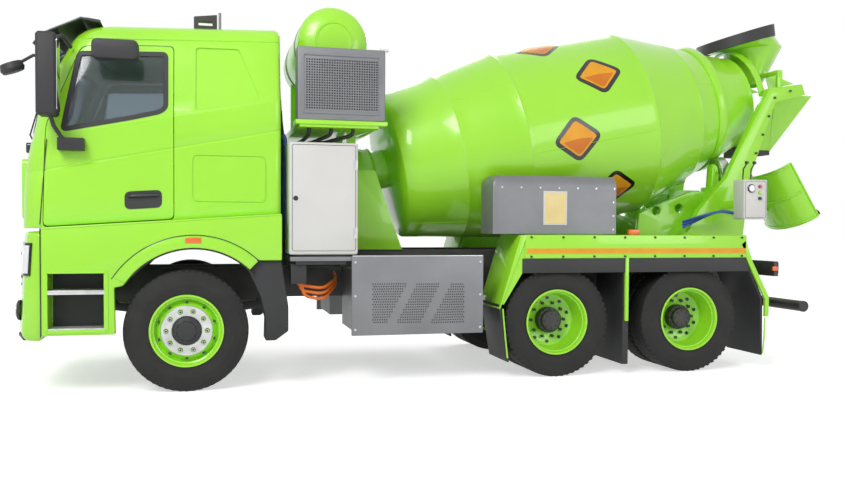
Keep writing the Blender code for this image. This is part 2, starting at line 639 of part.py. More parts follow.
for side, s in SIDES:
    out = s * BODY_HW
    # step box, arch and rear leg follow the cab's underside
    edge = [(BUMPER_REAR + GAP, sill(BUMPER_REAR) - 0.004), (BUMPER_REAR + GAP, 0.51),
            (STEP_REAR + 0.03, 0.51),
            (-0.58, 0.90)]
    arch_end = math.degrees(math.asin((LEG_Z - ARCH_Z) / ARCH_R))
    for k in range(9):
        a = math.radians(148 - k * (148 - arch_end) / 8)
        edge.append((ARCH_X + ARCH_R * math.cos(a), ARCH_Z + ARCH_R * math.sin(a)))
    edge += [(0.80, LEG_Z), (0.80, sill(0.80) - 0.004)]
    panel = plate("lower_panel_" + side, edge, out, s * PANEL_IN, LIME)
    sweep = math.hypot(TYRE_R, FRONT_TRACK_HW + TYRE_W / 2 - KINGPIN_Y) + STEER_CLEAR
    cut(panel, turned("steer_well_" + side, [(0, STEER_WELL_Z), (sweep, STEER_WELL_Z), (sweep, 0.3),
                                             (0, 0.3)],
                      (sx(0), s * KINGPIN_Y, 0), (0, 0, 1), 32))
    cut(panel, box("step_well_" + side, -1.09, -0.40, s * (BODY_HW + 0.1), s * 1.00, 0.56, 0.94))
    join(panel, box("tread_" + side, -1.10, STEP_REAR - 0.01, s * (BODY_HW - 0.01), s * 0.99, 0.85,
                    0.88))
    join(panel, box("panel_hanger_" + side, 0.56, 0.66, s * 1.0, s * rail_out, 1.28, 1.40))
    cut(panel, box("panel_hanger_gap_" + side, 0.5, 0.72, s * (rail_out - 0.03),
                   s * (rail_out + GAP - 0.005), 1.2, 1.5))
    # plastic guard behind the front wheel
    back = [(0.50, 1.06), (0.56, LEG_Z - GAP), (0.80, LEG_Z - GAP), (0.86, 0.71), (0.86, 0.50),
            (0.75, 0.42), (0.66, 0.42), (0.665, 0.60),
            (0.62, 0.80), (0.55, 0.96)]
    plate("front_mudguard_" + side, back, s * (BODY_HW - 0.04), s * (PANEL_IN + 0.01), BLACK)

# ------------------------------------------------------------------ behind the cab
for side, s in SIDES:
    box("cabinet_" + side, CABINET_X0, CABINET_X0 + CABINET_L, s * BODY_HW, s * (BODY_HW - CABINET_D),
        CABINET_Z0, CABINET_Z0 + CABINET_H, PALE, bevel=0.012)
    bat = box("battery_box_" + side, SKIRT_X0 + 0.04, SKIRT_X0 + SKIRT_L - 0.04,
              s * (BODY_HW - SKIRT_T + 0.01),
              s * (rail_out + GAP), SKIRT_Z0 + 0.02, rail_top, GREY)
    join(bat, box("skirt_" + side, SKIRT_X0, SKIRT_X0 + SKIRT_L, s * BODY_HW, s * (BODY_HW - SKIRT_T),
                  SKIRT_Z0, SKIRT_Z0 + SKIRT_H))
box("cooler_box", COOLER_X0, COOLER_X0 + COOLER_L, -COOLER_Y, -(COOLER_Y - COOLER_D), COOLER_Z0,
    COOLER_Z0 + COOLER_H, GREY, bevel=0.01)
tank_end = 0.10
turned("water_tank", [(0, TANK_HL), (TANK_R * 0.55, TANK_HL - 0.02), (TANK_R * 0.9, TANK_HL - 0.06),
                      (TANK_R, TANK_HL - tank_end), (TANK_R, -TANK_HL + tank_end),
                      (TANK_R * 0.9, -TANK_HL + 0.06),
                      (TANK_R * 0.55, -TANK_HL + 0.02), (0, -TANK_HL)],
       (sx(TANK_X), 0, TANK_Z), (0, 1, 0), 28, LIME)

# ------------------------------------------------------------------ drum
ct, st = math.cos(DRUM_TILT), math.sin(DRUM_TILT)
AXIS = Vector((ct, 0, st))
UP = Vector((-st, 0, ct))
DRUM_MID = Vector((sx(DRUM_X), 0, DRUM_Z))


def cone_r(s):
    """The rear cone's radius at a station along the axis."""
    t = (s - DRUM_CYL_S1) / (DRUM_MOUTH_S - DRUM_CYL_S1)
    return DRUM_R + (DRUM_MOUTH_R - DRUM_R) * t


half_ring = RING_W / 2
outer = [(DRUM_MOUTH_R, DRUM_MOUTH_S), (cone_r(RING_S + half_ring), RING_S + half_ring),
         (RING_R, RING_S + half_ring), (RING_R, RING_S - half_ring),
         (cone_r(RING_S - half_ring - 0.03), RING_S - half_ring - 0.03), (DRUM_R, DRUM_CYL_S1),
         (DRUM_R, DRUM_CYL_S0),
         (DRUM_HEAD_R, DRUM_HEAD_S), (DRUM_HEAD_R * 0.75, DRUM_HEAD_S - 0.035),
         (FLANGE_R, DRUM_HEAD_S - 0.06),
         (FLANGE_R, FLANGE_S), (0, FLANGE_S)]
inner = [(0, DRUM_HEAD_S - 0.04), (DRUM_HEAD_R * 0.75, DRUM_HEAD_S - 0.01),
         (DRUM_HEAD_R - DRUM_WALL, DRUM_HEAD_S + 0.02),
         (DRUM_R - DRUM_WALL, DRUM_CYL_S0), (DRUM_R - DRUM_WALL, DRUM_CYL_S1),
         (DRUM_MOUTH_R - DRUM_WALL, DRUM_MOUTH_S)]
me = bpy.data.meshes.new("drum")
prof = outer + inner
me.from_pydata([(r, 0, h) for r, h in prof], [(i,
                                               i + 1) for i in range(len(prof) - 1) if i != len(outer) - 1]
               + [(len(prof) - 1, 0)], [])
ob = bpy.data.objects.new("drum", me)
m = ob.modifiers.new("Screw", "SCREW")
m.angle = 2 * math.pi
m.steps = DRUM_STEPS
m.render_steps = DRUM_STEPS
m.use_merge_vertices = True
m.merge_threshold = 0.0001
m.use_smooth_shade = True
ob.matrix_world = Matrix.Translation(DRUM_MID) @ Vector((0, 0,
    1)).rotation_difference(AXIS).to_matrix().to_4x4()
drum = finish(baked(ob), LIME)
on_axis("drum_axis", DRUM_MID, drum)


def on_drum(s, r, angle):
    """World point at station s and radius r, `angle` round from straight down."""
    return DRUM_MID + AXIS * s - UP * (r * math.cos(angle)) + Vector((0, 1, 0)) * (r * math.sin(angle))


# front stand with the drive, the tank's shelf and its posts
stand = turned("front_stand", [(0, FLANGE_S - 0.0005), (0.23, FLANGE_S - 0.0005),
                               (0.25, FLANGE_S - 0.03),
                               (0.25, FLANGE_S - 0.20), (0.15, FLANGE_S - 0.24),
                               (0.15, FLANGE_S - 0.50),
                               (0, FLANGE_S - 0.50)], DRUM_MID, AXIS, 24, LIME)
gx = DRUM_X + (FLANGE_S - 0.10) * ct
gz = DRUM_Z + (FLANGE_S - 0.10) * st
for side, s in SIDES:
    join(stand, plate("pedestal_" + side, [(1.50, sub_top + GAP), (2.05, sub_top + GAP),
                                           (1.93, gz - 0.45), (gx + 0.05, gz),
                                           (gx - 0.12, gz), (1.50, gz - 0.30)], s * 0.24, s * 0.44))
    join(stand, box("tank_post_" + side, 1.50, 1.58, s * 0.36, s * 0.44, sub_top + GAP,
                    COOLER_Z0 - 0.03))
join(stand, box("pedestal_web", 1.52, 1.62, -0.30, 0.30, sub_top + 0.05, gz - 0.10))
join(stand, box("tank_shelf", COOLER_X0 + 0.02, 1.68, -COOLER_Y + 0.01, COOLER_Y - 0.10,
                COOLER_Z0 - 0.06, COOLER_Z0 - GAP))
for i, y in enumerate((-0.60, 0.60)):
    saddle = box("saddle_%d" % i, TANK_X - 0.26, TANK_X + 0.26, y - 0.03, y + 0.03, COOLER_Z0 - 0.03,
                 TANK_Z - 0.12)
    join(stand, saddle)
cut(stand, turned("saddle_bore", [(0, 1.2), (TANK_R + GAP, 1.2), (TANK_R + GAP, -1.2), (0, -1.2)],
                  (sx(TANK_X), 0, TANK_Z), (0, 1, 0), 28))

# rear stand: posts, side plates, cross beam, roller brackets, chute column
rs = None
for side, s in SIDES:
    y0, y1 = s * (STAND_Y - STAND_T / 2), s * (STAND_Y + STAND_T / 2)
    post = plate("post_" + side if rs else "rear_stand",
                 [(5.02, sub_top + GAP + 0.10), (5.72, sub_top + GAP + 0.10), (5.80, 1.95),
                  (6.10, 2.77), (6.47, 2.87),
                  (6.43, 2.98), (6.03, 2.92), (5.52, 1.95), (5.20, 1.60)], y0, y1,
                  LIME if not rs else None)
    if rs is None:
        rs = post
    else:
        join(rs, post)
for side, s in SIDES:
    sideplate = plate("side_plate_" + side, [(4.62, sub_top + GAP), (5.66, sub_top + GAP), (5.66, 1.80),
                                             (5.30, 1.82),
                                             (4.95, 1.69), (4.66, 1.57)], s * 0.35, s * 0.41)
    for i, (hx, hz) in enumerate(((4.86, 1.60), (5.13, 1.63))):
        cut(sideplate, turned("hole_%s_%d" % (side, i), [(0, 0.6), (0.05, 0.6), (0.05, 0.2), (0, 0.2)],
                              (sx(hx), 0, hz), (0, s, 0), 16))
    join(rs, sideplate)
    c = on_drum(RING_S, RING_R + ROLLER_R + 0.0006, s * ROLLER_ANGLE)
    # bracket behind and before the roller, with the roller's pin in the rear one
    tip = ROLLER_W / 2 - 0.03
    join(rs, box("roller_base_" + side, 5.44, 5.84, s * 0.33, s * 0.60, 1.62, 1.86))
    fork = turned("roller_pin_" + side, [(0, -tip), (0.03, -tip), (0.03, -ROLLER_W / 2 - 0.012),
                                         (0.075, -ROLLER_W / 2 - 0.012),
                                         (0.075, -ROLLER_W / 2 - 0.05), (0, -ROLLER_W / 2 - 0.05)], c,
                                         AXIS, 16)
    join(rs, fork)
    join(rs, plate("roller_fork_" + side,
                   [(c.x - X_FRONT - 0.14, 1.80), (c.x - X_FRONT - 0.06, 1.80),
                    (c.x - X_FRONT - 0.045, c.z - 0.06),
                    (c.x - X_FRONT - 0.07, c.z + 0.03), (c.x - X_FRONT - 0.12, c.z + 0.03)],
                    s * (abs(c.y) - 0.055),
                   s * (abs(c.y) + 0.055)))
join(rs, box("cross_low", 5.10, 5.70, -STAND_Y - 0.03, STAND_Y + 0.03, sub_top + GAP + 0.10,
             sub_top + 0.22))
join(rs, box("cross_mid", 5.46, 5.72, -STAND_Y - 0.03, STAND_Y + 0.03, 1.64, 1.76))
# column for the chute
join(rs, box("column_arm", 5.60, CHUTE_PIVOT_X + 0.03, -0.10, 0.10, 1.50, 1.58),
     box("column_web", 5.60, 5.72, -0.10, 0.10, sub_top + 0.12, 1.70))
join(rs, rod("chute_pin", [(sx(CHUTE_PIVOT_X), 0, 1.54), (sx(CHUTE_PIVOT_X), 0, 1.80)],
             CHUTE_PIVOT_R - 0.006, sides=4))
# arm for the control box
join(rs, box("control_arm", 5.45, 5.55, -(0.96 - GAP), -STAND_Y, 1.62, 1.70))
# hoop round the drum's mouth, carried by the side beams
hoop_s = DRUM_MOUTH_S + 0.07
hoop = turned("hoop", [(HOOP_R, hoop_s + 0.05), (HOOP_R, hoop_s - 0.02),
                       (HOOP_R - 0.015, hoop_s - 0.02), (HOOP_R - 0.015, hoop_s + 0.05)],
              DRUM_MID, AXIS, DRUM_STEPS)
cut(hoop, box("hoop_cut", 5.6, 6.6, -0.8, 0.8, 1.9, 2.85))
join(rs, hoop)
for side, s in SIDES:
    join(rs, box("hoop_lug_" + side, 6.05, 6.12, s * (HOOP_R - 0.012), s * (STAND_Y - 0.02), 2.85,
                 2.90))

box("control_box", 5.42, 5.69, -1.15, -0.96, 1.51, 1.91, PALE, bevel=0.008)

for side, s in SIDES:
    c = on_drum(RING_S, RING_R + ROLLER_R + 0.0006, s * ROLLER_ANGLE)
    h = ROLLER_W / 2
    r = turned("roller_" + side, [(0, h), (0.05, h), (0.06, h - 0.01), (ROLLER_R, h - 0.01),
                                  (ROLLER_R, -h), (0.036, -h),
                                  (0.036, -h + 0.0306), (0, -h + 0.0306)], c, AXIS, 24, GREY)
    on_axis("roller_axis_" + side, c, r)


# hopper: an open funnel above and behind the mouth
def tilted_ring(cx, cz, a, b, tilt, n=16):
    pts = []
    for i in range(n):
        t = 2 * math.pi * i / n
        x, y = a * math.cos(t), b * math.sin(t)
        pts.append((sx(cx + x * math.cos(tilt)), y, cz + x * math.sin(tilt)))
    return pts


def funnel(name, rings, look, shrink, *arms):
    ob = join(loft(name, [tilted_ring(*r) for r in rings], look), *arms)
    inside = [(cx, cz + (0.02 if i == 0 else (-0.02 if i == len(rings) - 1 else 0)), a - shrink,
               b - shrink, t)
              for i, (cx, cz, a, b, t) in enumerate(rings)]
    return cut(ob, loft(name + "_inside", [tilted_ring(*r) for r in inside]))


arms = [box("hopper_arm", 6.19, 6.25, -0.60, 0.60, 3.10, 3.14)]
for side, s in SIDES:
    arms.append(plate("hopper_leg_" + side, [(6.19, 3.12), (6.25, 3.12), (6.25, 2.90), (6.19, 2.90)],
                      s * 0.57, s * (STAND_Y - STAND_T / 2 - GAP)))
funnel("hopper", [(6.06, 3.61, 0.41, 0.45, 0.30), (6.07, 3.52, 0.40, 0.44, 0.22),
                  (6.29, 3.46, 0.31, 0.34, 0.08),
                  (6.22, 3.05, 0.14, 0.20, 0.0)], LIME, 0.012, *arms)

# discharge funnel under the mouth
fz0, fz1 = 2.27, 2.88
fun = loft("discharge_funnel", [
    [(sx(6.13), -0.28, fz0), (sx(6.33), -0.28, fz0), (sx(6.33), 0.28, fz0), (sx(6.13), 0.28, fz0)],
    [(sx(6.13), -0.56, fz1), (sx(6.66), -0.56, fz1), (sx(6.66), 0.56, fz1), (sx(6.13), 0.56, fz1)]],
    LIME)
cut(fun, loft("discharge_inside", [
    [(sx(6.142), -0.262, fz0 - 0.02), (sx(6.31), -0.262, fz0 - 0.02), (sx(6.31), 0.262, fz0 - 0.02),
     (sx(6.142), 0.262, fz0 - 0.02)],
    [(sx(6.142), -0.558, fz1 + 0.02), (sx(6.655), -0.558, fz1 + 0.02), (sx(6.655), 0.558, fz1 + 0.02),
     (sx(6.142), 0.558, fz1 + 0.02)]]))
cut(fun, box("discharge_front", 6.0, 6.2, -0.54, 0.54, 2.34, 3.0))
for side, s in SIDES:
    join(fun, box("discharge_lug_" + side, 6.20, 6.40, s * 0.54, s * (STAND_Y - STAND_T / 2 - GAP),
                  2.84, 2.88))

# ------------------------------------------------------------------ chute
d = Vector((math.cos(CHUTE_TILT), 0, -math.sin(CHUTE_TILT)))
nrm = Vector((-math.sin(CHUTE_TILT), 0, -math.cos(CHUTE_TILT)))
low = Vector((sx(REAR_REACH), 0, CHUTE_Z))
rings = []
N_ARC = 12
for end in (0.0, CHUTE_L):
    c = low - d * end
    ring = []
    for i in range(N_ARC + 1):
        a = math.pi * i / N_ARC
        ring.append(tuple(c + Vector((0, 1, 0)) * (CHUTE_HW * math.cos(a)) + nrm * (CHUTE_DEPTH * math.sin(a))))
    for i in range(N_ARC, -1, -1):
        a = math.pi * i / N_ARC
        ring.append(tuple(c + Vector((0, 1, 0)) * ((CHUTE_HW - CHUTE_T) * math.cos(a))
                          + nrm * ((CHUTE_DEPTH - CHUTE_T) * math.sin(a))))
    rings.append(ring)
chute = loft("chute", rings, LIME)
# swivel sleeve and strut under the trough
sleeve = turned("chute_sleeve", [(0.07, 1.78), (0.07, 1.5805), (CHUTE_PIVOT_R, 1.5805),
                                 (CHUTE_PIVOT_R, 1.78)],
                (sx(CHUTE_PIVOT_X), 0, 0), (0, 0, 1), 20)
mid = low - d * (CHUTE_L * 0.62) + nrm * (CHUTE_DEPTH - CHUTE_T / 2)
join(chute, sleeve, plate("chute_strut", [(CHUTE_PIVOT_X + 0.06, 1.60),
                                          (mid.x - X_FRONT + 0.09, mid.z - 0.17),
                                          (mid.x - X_FRONT, mid.z), (CHUTE_PIVOT_X + 0.06, 1.76)],
                                          -0.03, 0.03))
on_axis("chute_axis", (sx(CHUTE_PIVOT_X), 0, 1.66), chute)

# ------------------------------------------------------------------ rear fenders
fx0, fx1 = FENDER_X0, FENDER_X0 + FENDER_L
mud_y = BODY_HW - 0.031
MUD_IN = 0.64            # the flaps' inner edges
MUD_TOP = 1.085
for side, s in SIDES:
    out = s * BODY_HW
    inn = s * (BODY_HW - FENDER_T)
    rail = box("fender_rail_" + side, fx0, fx1, out, inn, FENDER_Z0, FENDER_Z0 + FENDER_H, LIME)
    # front bracket plate, middle strut, rear bar
    join(rail, plate("fender_front_" + side, [(fx0 + 0.018, 1.345), (fx0 - 0.242, 0.66),
                                              (fx0 - 0.252, 0.66), (fx0 - 0.042, 1.345)], out,
                                              s * 0.66))
    xm = WHEELBASE + BOGIE / 2
    join(rail, box("fender_strut_" + side, xm - 0.018, xm + 0.018, out, s * (BODY_HW - 0.03), 0.52,
                   1.14))
    join(rail, plate("fender_rear_" + side, [(fx1 - 0.062, 1.26), (fx1 - 0.007, 1.30),
                                             (fx1 + 0.068, 1.09), (fx1 + 0.263, 0.73),
                                             (fx1 + 0.263, 0.53), (fx1 + 0.218, 0.53),
                                             (fx1 + 0.218, 0.71), (fx1 + 0.018, 1.08)], out,
                                             s * (BODY_HW - 0.03)))
    # sheet guard above the rail, bent in at its top
    g1 = GUARD_X0 + GUARD_L
    gy = BODY_HW - FENDER_T
    sheet = plate("guard_" + side, [(GUARD_X0 + 0.30, GUARD_LOW), (g1, GUARD_LOW), (g1, 1.83),
                                    (g1 - 0.10, GUARD_TOP), (GUARD_X0 - 0.05, GUARD_TOP),
                                    (GUARD_X0, 1.83), (GUARD_X0, 1.37), (GUARD_X0 + 0.30, 1.37)],
                  s * (gy + 0.002), s * (gy - 0.006))
    join(rail, sheet)
    # black mudguard: top sheet, outer lip, flaps
    mud = box("mudguard_" + side, fx0 - 0.022, fx1 + 0.028, s * (BODY_HW - 0.005), s * 0.62, MUD_TOP,
              FENDER_Z0 - GAP, BLACK)
    join(mud, box("mud_lip_" + side, fx0 - 0.022, fx1 + 0.028, s * (BODY_HW - 0.005),
                  s * (BODY_HW - 0.02), 0.99, 1.10))
    join(mud, box("mud_mid_" + side, xm - 0.03, xm + 0.03, s * mud_y, s * MUD_IN, 0.10, 1.10))
    join(mud, plate("mud_rear_" + side, [(fx1 - 0.012, 1.10), (fx1 + 0.028, 1.10), (fx1 + 0.208, 0.72),
                                         (fx1 + 0.213, 0.14), (fx1 + 0.193, 0.14), (fx1 + 0.183, 0.71)],
                    s * mud_y, s * MUD_IN))
    cut(mud, box("mud_slot_" + side, xm - 0.019, xm + 0.019, s * (BODY_HW + 0.1),
                 s * (BODY_HW - 0.03 - GAP), 0.4, 1.3))
    cut(mud, plate("mud_notch_" + side, [(fx1 - 0.072, 1.26), (fx1 - 0.002, 1.32), (fx1 + 0.078, 1.09),
                                         (fx1 + 0.268, 0.73), (fx1 + 0.208, 0.70), (fx1 + 0.008, 1.07)],
                   s * (BODY_HW + 0.1), s * (BODY_HW - 0.03 - GAP)))

# ------------------------------------------------------------------ rear end
rear = box("rear_underrun", RAIL_REAR + GAP, BEAM_X + 0.02, -REAR_HW, REAR_HW, 0.93, 1.08, DARK)
join(rear, rod("underrun_tube", [(sx(UNDERRUN_X), -REAR_HW, UNDERRUN_Z),
                                 (sx(UNDERRUN_X), REAR_HW, UNDERRUN_Z)],
               UNDERRUN_R, sides=4))
for side, s in SIDES:
    join(rear, plate("underrun_leg_" + side, [(RAIL_REAR + GAP, 1.00), (BEAM_X + 0.02, 1.00),
                                              (UNDERRUN_X + 0.02, UNDERRUN_Z + 0.03),
                                              (UNDERRUN_X - 0.03, UNDERRUN_Z - 0.04),
                                              (RAIL_REAR + GAP, 0.78)],
                     s * (RAIL_Y + 0.01), s * (rail_out - 0.01)))

# front mirror's arm runs from the roof corner
fm = bpy.data.objects["front_mirror"]
join(fm, rod("front_mirror_arm", [(sx(-FRONT_REACH + 0.13), -0.93, 2.76), (sx(-1.24), -0.94, 2.84),
                                  (sx(-0.95), -0.92, 2.80)], 0.014))
cut(fm, cab_solid("front_mirror_seat", -GAP, bottom=1.3))
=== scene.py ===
# %% [markdown]
# # A concrete mixer truck, dressed
# The solid model gives the truck its real sizes, its joints and its weight. This lesson gives it looks:
# paint, rubber, glass, galvanised sheet, and the small hardware that makes a truck read as a truck.
# Each piece is made where the solid model says it is, and rides on one of its bodies.

# %% Load the fixed frame
import json
import math
import bpy
import bmesh
from mathutils import Matrix, Vector

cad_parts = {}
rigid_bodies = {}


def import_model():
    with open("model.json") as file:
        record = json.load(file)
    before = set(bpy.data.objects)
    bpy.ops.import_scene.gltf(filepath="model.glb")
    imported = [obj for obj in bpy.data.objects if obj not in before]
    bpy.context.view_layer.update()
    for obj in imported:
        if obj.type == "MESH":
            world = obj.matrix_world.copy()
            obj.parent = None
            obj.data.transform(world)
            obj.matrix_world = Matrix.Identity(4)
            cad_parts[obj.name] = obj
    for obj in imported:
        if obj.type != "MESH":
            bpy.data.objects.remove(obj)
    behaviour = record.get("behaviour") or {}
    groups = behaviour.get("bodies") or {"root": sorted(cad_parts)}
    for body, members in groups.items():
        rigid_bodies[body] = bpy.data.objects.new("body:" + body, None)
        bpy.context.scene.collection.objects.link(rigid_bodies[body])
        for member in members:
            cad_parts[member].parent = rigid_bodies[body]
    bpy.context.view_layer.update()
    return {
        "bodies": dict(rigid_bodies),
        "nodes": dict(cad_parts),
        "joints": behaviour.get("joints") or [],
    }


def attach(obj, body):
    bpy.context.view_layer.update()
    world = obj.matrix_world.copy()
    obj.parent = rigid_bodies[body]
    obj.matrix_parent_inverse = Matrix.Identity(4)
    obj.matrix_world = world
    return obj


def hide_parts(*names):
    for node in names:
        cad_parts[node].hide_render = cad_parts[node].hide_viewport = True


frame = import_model()
JOINTS = {j["name"]: j for j in frame["joints"]}
SIDES = (("left", -1), ("right", 1))
BODY_HW = 1.25                    # half width over the side panels
WHEELBASE, BOGIE = 3.386, 1.401   # front to second axle, second to third
AXLE_X = JOINTS["steer_left"]["pos_m"][0]


def sx(x):
    """World X of a station measured from the front axle, positive to the rear."""
    return AXLE_X + x


# %% [markdown]
# ## Finishes
# A painted truck is not one flat colour. Paint has a faint orange peel and a clear coat, plastic has a fine
# grain, rubber carries dust, and zinc sheet is mottled. One helper builds them all from two noises: a broad one
# that shifts the colour and a fine one that feeds the bump. Object coordinates keep both fixed to the piece.

# %% One helper for the procedural finishes
def finish(name, dark, light, rough, metal=0.0, coat=0.0, grain=(40.0, 0.1), patch=1.5, **sockets):
    m = bpy.data.materials.new(name)
    m.use_nodes = True
    nt = m.node_tree
    bsdf = nt.nodes["Principled BSDF"]
    where = nt.nodes.new("ShaderNodeTexCoord")

    def noise(scale, detail):
        n = nt.nodes.new("ShaderNodeTexNoise")
        n.inputs["Scale"].default_value = scale
        n.inputs["Detail"].default_value = detail
        nt.links.new(where.outputs["Object"], n.inputs["Vector"])
        return n

    broad = noise(patch, 4.0)
    ramp = nt.nodes.new("ShaderNodeValToRGB")
    ramp.color_ramp.elements[0].position = 0.3
    ramp.color_ramp.elements[0].color = (*dark, 1)
    ramp.color_ramp.elements[1].position = 0.7
    ramp.color_ramp.elements[1].color = (*light, 1)
    nt.links.new(broad.outputs["Fac"], ramp.inputs["Fac"])
    nt.links.new(ramp.outputs["Color"], bsdf.inputs["Base Color"])
    fine = noise(grain[0], 3.0)
    spread = nt.nodes.new("ShaderNodeMapRange")
    spread.inputs["To Min"].default_value = max(rough - 0.06, 0.02)
    spread.inputs["To Max"].default_value = min(rough + 0.08, 1.0)
    nt.links.new(fine.outputs["Fac"], spread.inputs["Value"])
    nt.links.new(spread.outputs["Result"], bsdf.inputs["Roughness"])
    bump = nt.nodes.new("ShaderNodeBump")
    bump.inputs["Strength"].default_value = grain[1]
    bump.inputs["Distance"].default_value = 0.002
    nt.links.new(fine.outputs["Fac"], bump.inputs["Height"])
    nt.links.new(bump.outputs["Normal"], bsdf.inputs["Normal"])
    bsdf.inputs["Metallic"].default_value = metal
    bsdf.inputs["Coat Weight"].default_value = coat
    bsdf.inputs["Coat Roughness"].default_value = 0.08
    for key, value in sockets.items():
        bsdf.inputs[key.replace("_", " ")].default_value = value
    return m


LIME = finish("lime_paint", (0.33, 0.78, 0.022), (0.38, 0.84, 0.035), 0.32, coat=0.55, grain=(90, 0.03),
        patch=0.8)
PLASTIC = finish("grained_black_plastic", (0.018, 0.018, 0.02), (0.03, 0.03, 0.033), 0.55, grain=(260, 0.35))
STEEL_DARK = finish("chassis_paint", (0.02, 0.02, 0.022), (0.05, 0.048, 0.045), 0.5, grain=(60, 0.2), patch=4)
RUBBER = finish("tyre_rubber", (0.007, 0.007, 0.0075), (0.016, 0.015, 0.014), 0.74, grain=(120, 0.3), patch=5)
DUSTY = finish("dusty_tread", (0.05, 0.036, 0.027), (0.13, 0.085, 0.06), 0.9, grain=(90, 0.5), patch=9)
ZINC = finish("galvanised_sheet", (0.21, 0.215, 0.23), (0.25, 0.255, 0.27), 0.45, metal=0.35, grain=(60, 0.04),
        patch=3)
PALE = finish("pale_cabinet_paint", (0.66, 0.65, 0.63), (0.72, 0.71, 0.69), 0.45, grain=(150, 0.08), patch=2)
SILVER = finish("bright_steel", (0.5, 0.5, 0.51), (0.62, 0.62, 0.63), 0.3, metal=0.9, grain=(80, 0.15),
        patch=12)
CHECKER = finish("checker_plate", (0.55, 0.55, 0.55), (0.72, 0.72, 0.72), 0.35, metal=0.7, grain=(70, 0.9),
        patch=20)
BLACK = finish("gloss_black", (0.008, 0.008, 0.009), (0.014, 0.014, 0.015), 0.22, coat=0.4, grain=(50, 0.03))
ORANGE = finish("orange_tape", (0.78, 0.33, 0.006), (0.86, 0.40, 0.012), 0.4, grain=(200, 0.1), patch=6)
AMBER_PAINT = finish("deep_orange_paint", (0.62, 0.16, 0.004), (0.68, 0.20, 0.006), 0.4, grain=(200, 0.1),
        patch=6)
AMBER = finish("amber_lens", (0.85, 0.12, 0.004), (0.95, 0.20, 0.01), 0.15, coat=0.6, grain=(300, 0.3))
RED = finish("red_lens", (0.45, 0.01, 0.005), (0.6, 0.02, 0.01), 0.15, coat=0.6, grain=(300, 0.3))
CREAM = finish("cream_plate", (0.78, 0.62, 0.26), (0.84, 0.68, 0.32), 0.4, grain=(120, 0.05), patch=6)
CLOTH = finish("seat_cloth", (0.03, 0.03, 0.034), (0.06, 0.06, 0.066), 0.9, grain=(420, 0.7), patch=10)
BLUE = finish("blue_hose", (0.03, 0.09, 0.35), (0.05, 0.13, 0.45), 0.4, grain=(90, 0.1))
CABLE = finish("orange_cable", (0.8, 0.16, 0.01), (0.9, 0.2, 0.02), 0.45, grain=(90, 0.1))
LAMP = finish("lamp_lens", (0.75, 0.77, 0.8), (0.85, 0.87, 0.9), 0.08, coat=1.0, grain=(160, 0.3))
GLASS = finish("tinted_glass", (0.34, 0.41, 0.45), (0.38, 0.45, 0.49), 0.03, grain=(3, 0.0),
        Transmission_Weight=0.92)
VISOR = finish("smoked_visor", (0.02, 0.025, 0.03), (0.03, 0.035, 0.045), 0.08, coat=0.8, grain=(3, 0.0))
MIRROR = finish("mirror_glass", (0.7, 0.74, 0.78), (0.75, 0.79, 0.82), 0.03, metal=1.0, grain=(2, 0.0))
print(len(bpy.data.materials), "finishes")

# %% [markdown]
# ## Making shapes
# A few helpers cover the truck: turned shapes, tubes, flat outlines with thickness, and boxes. Every edge of a
# real pressing is rounded, so most pieces pass through a small bevel that catches the light.

# %% Helpers for shapes
scene = bpy.context.scene


def link(name, me, look, body="chassis"):
    """A piece with one finish, on a body of the solid model."""
    ob = bpy.data.objects.new(name, me)
    scene.collection.objects.link(ob)
    me.materials.clear()
    me.materials.append(look)
    if body:
        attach(ob, body)
    return ob


def smooth(me, angle=35, weld=0.00002):
    bm = bmesh.new()
    bm.from_mesh(me)
    bmesh.ops.remove_doubles(bm, verts=bm.verts, dist=weld)
    bmesh.ops.recalc_face_normals(bm, faces=bm.faces)
    bm.to_mesh(me)
    bm.free()
    me.shade_smooth()
    me.set_sharp_from_angle(angle=math.radians(angle))
    return me


def raw(verts, faces, angle=35):
    me = bpy.data.meshes.new("raw")
    me.from_pydata([tuple(v) for v in verts], [], faces)
    return smooth(me, angle)


def baked(me, *modifiers, angle=35):
    """The mesh after some modifiers, given as (kind, {settings})."""
    ob = bpy.data.objects.new("work", me)
    scene.collection.objects.link(ob)
    for kind, settings in modifiers:
        m = ob.modifiers.new(kind, kind)
        for key, value in settings.items():
            setattr(m, key, value)
    bpy.context.view_layer.update()
    out = bpy.data.meshes.new_from_object(ob.evaluated_get(bpy.context.evaluated_depsgraph_get()))
    bpy.data.objects.remove(ob)
    out.shade_smooth()
    out.set_sharp_from_angle(angle=math.radians(angle))
    return out


def bevelled(me, width, segments=2):
    return baked(me, ("BEVEL", dict(width=width, segments=segments, limit_method="ANGLE", angle_limit=0.5,
                                    use_clamp_overlap=True)))


def turned(profile, at, axis, steps=64, angle=35):
    """A closed profile of (radius, height) turned about an axis through a point."""
    rings = []
    turn = Vector((0, 0, 1)).rotation_difference(Vector(axis)).to_matrix().to_4x4()
    place = Matrix.Translation(at) @ turn
    verts, faces = [], []
    for r, h in profile:
        if r == 0:
            rings.append([len(verts)] * steps)
            verts.append(place @ Vector((0, 0, h)))
        else:
            rings.append(list(range(len(verts), len(verts) + steps)))
            for i in range(steps):
                a = 2 * math.pi * i / steps
                verts.append(place @ Vector((r * math.cos(a), r * math.sin(a), h)))
    pairs = list(zip(rings, rings[1:]))
    if profile[0][0] and profile[-1][0]:
        pairs.append((rings[-1], rings[0]))
    for a, b in pairs:
        for i in range(steps):
            j = (i + 1) % steps
            quad = [a[i], a[j], b[j], b[i]]
            face = [v for k, v in enumerate(quad) if v not in quad[:k]]
            if len(face) > 2:
                faces.append(face)
    return raw(verts, faces, angle)


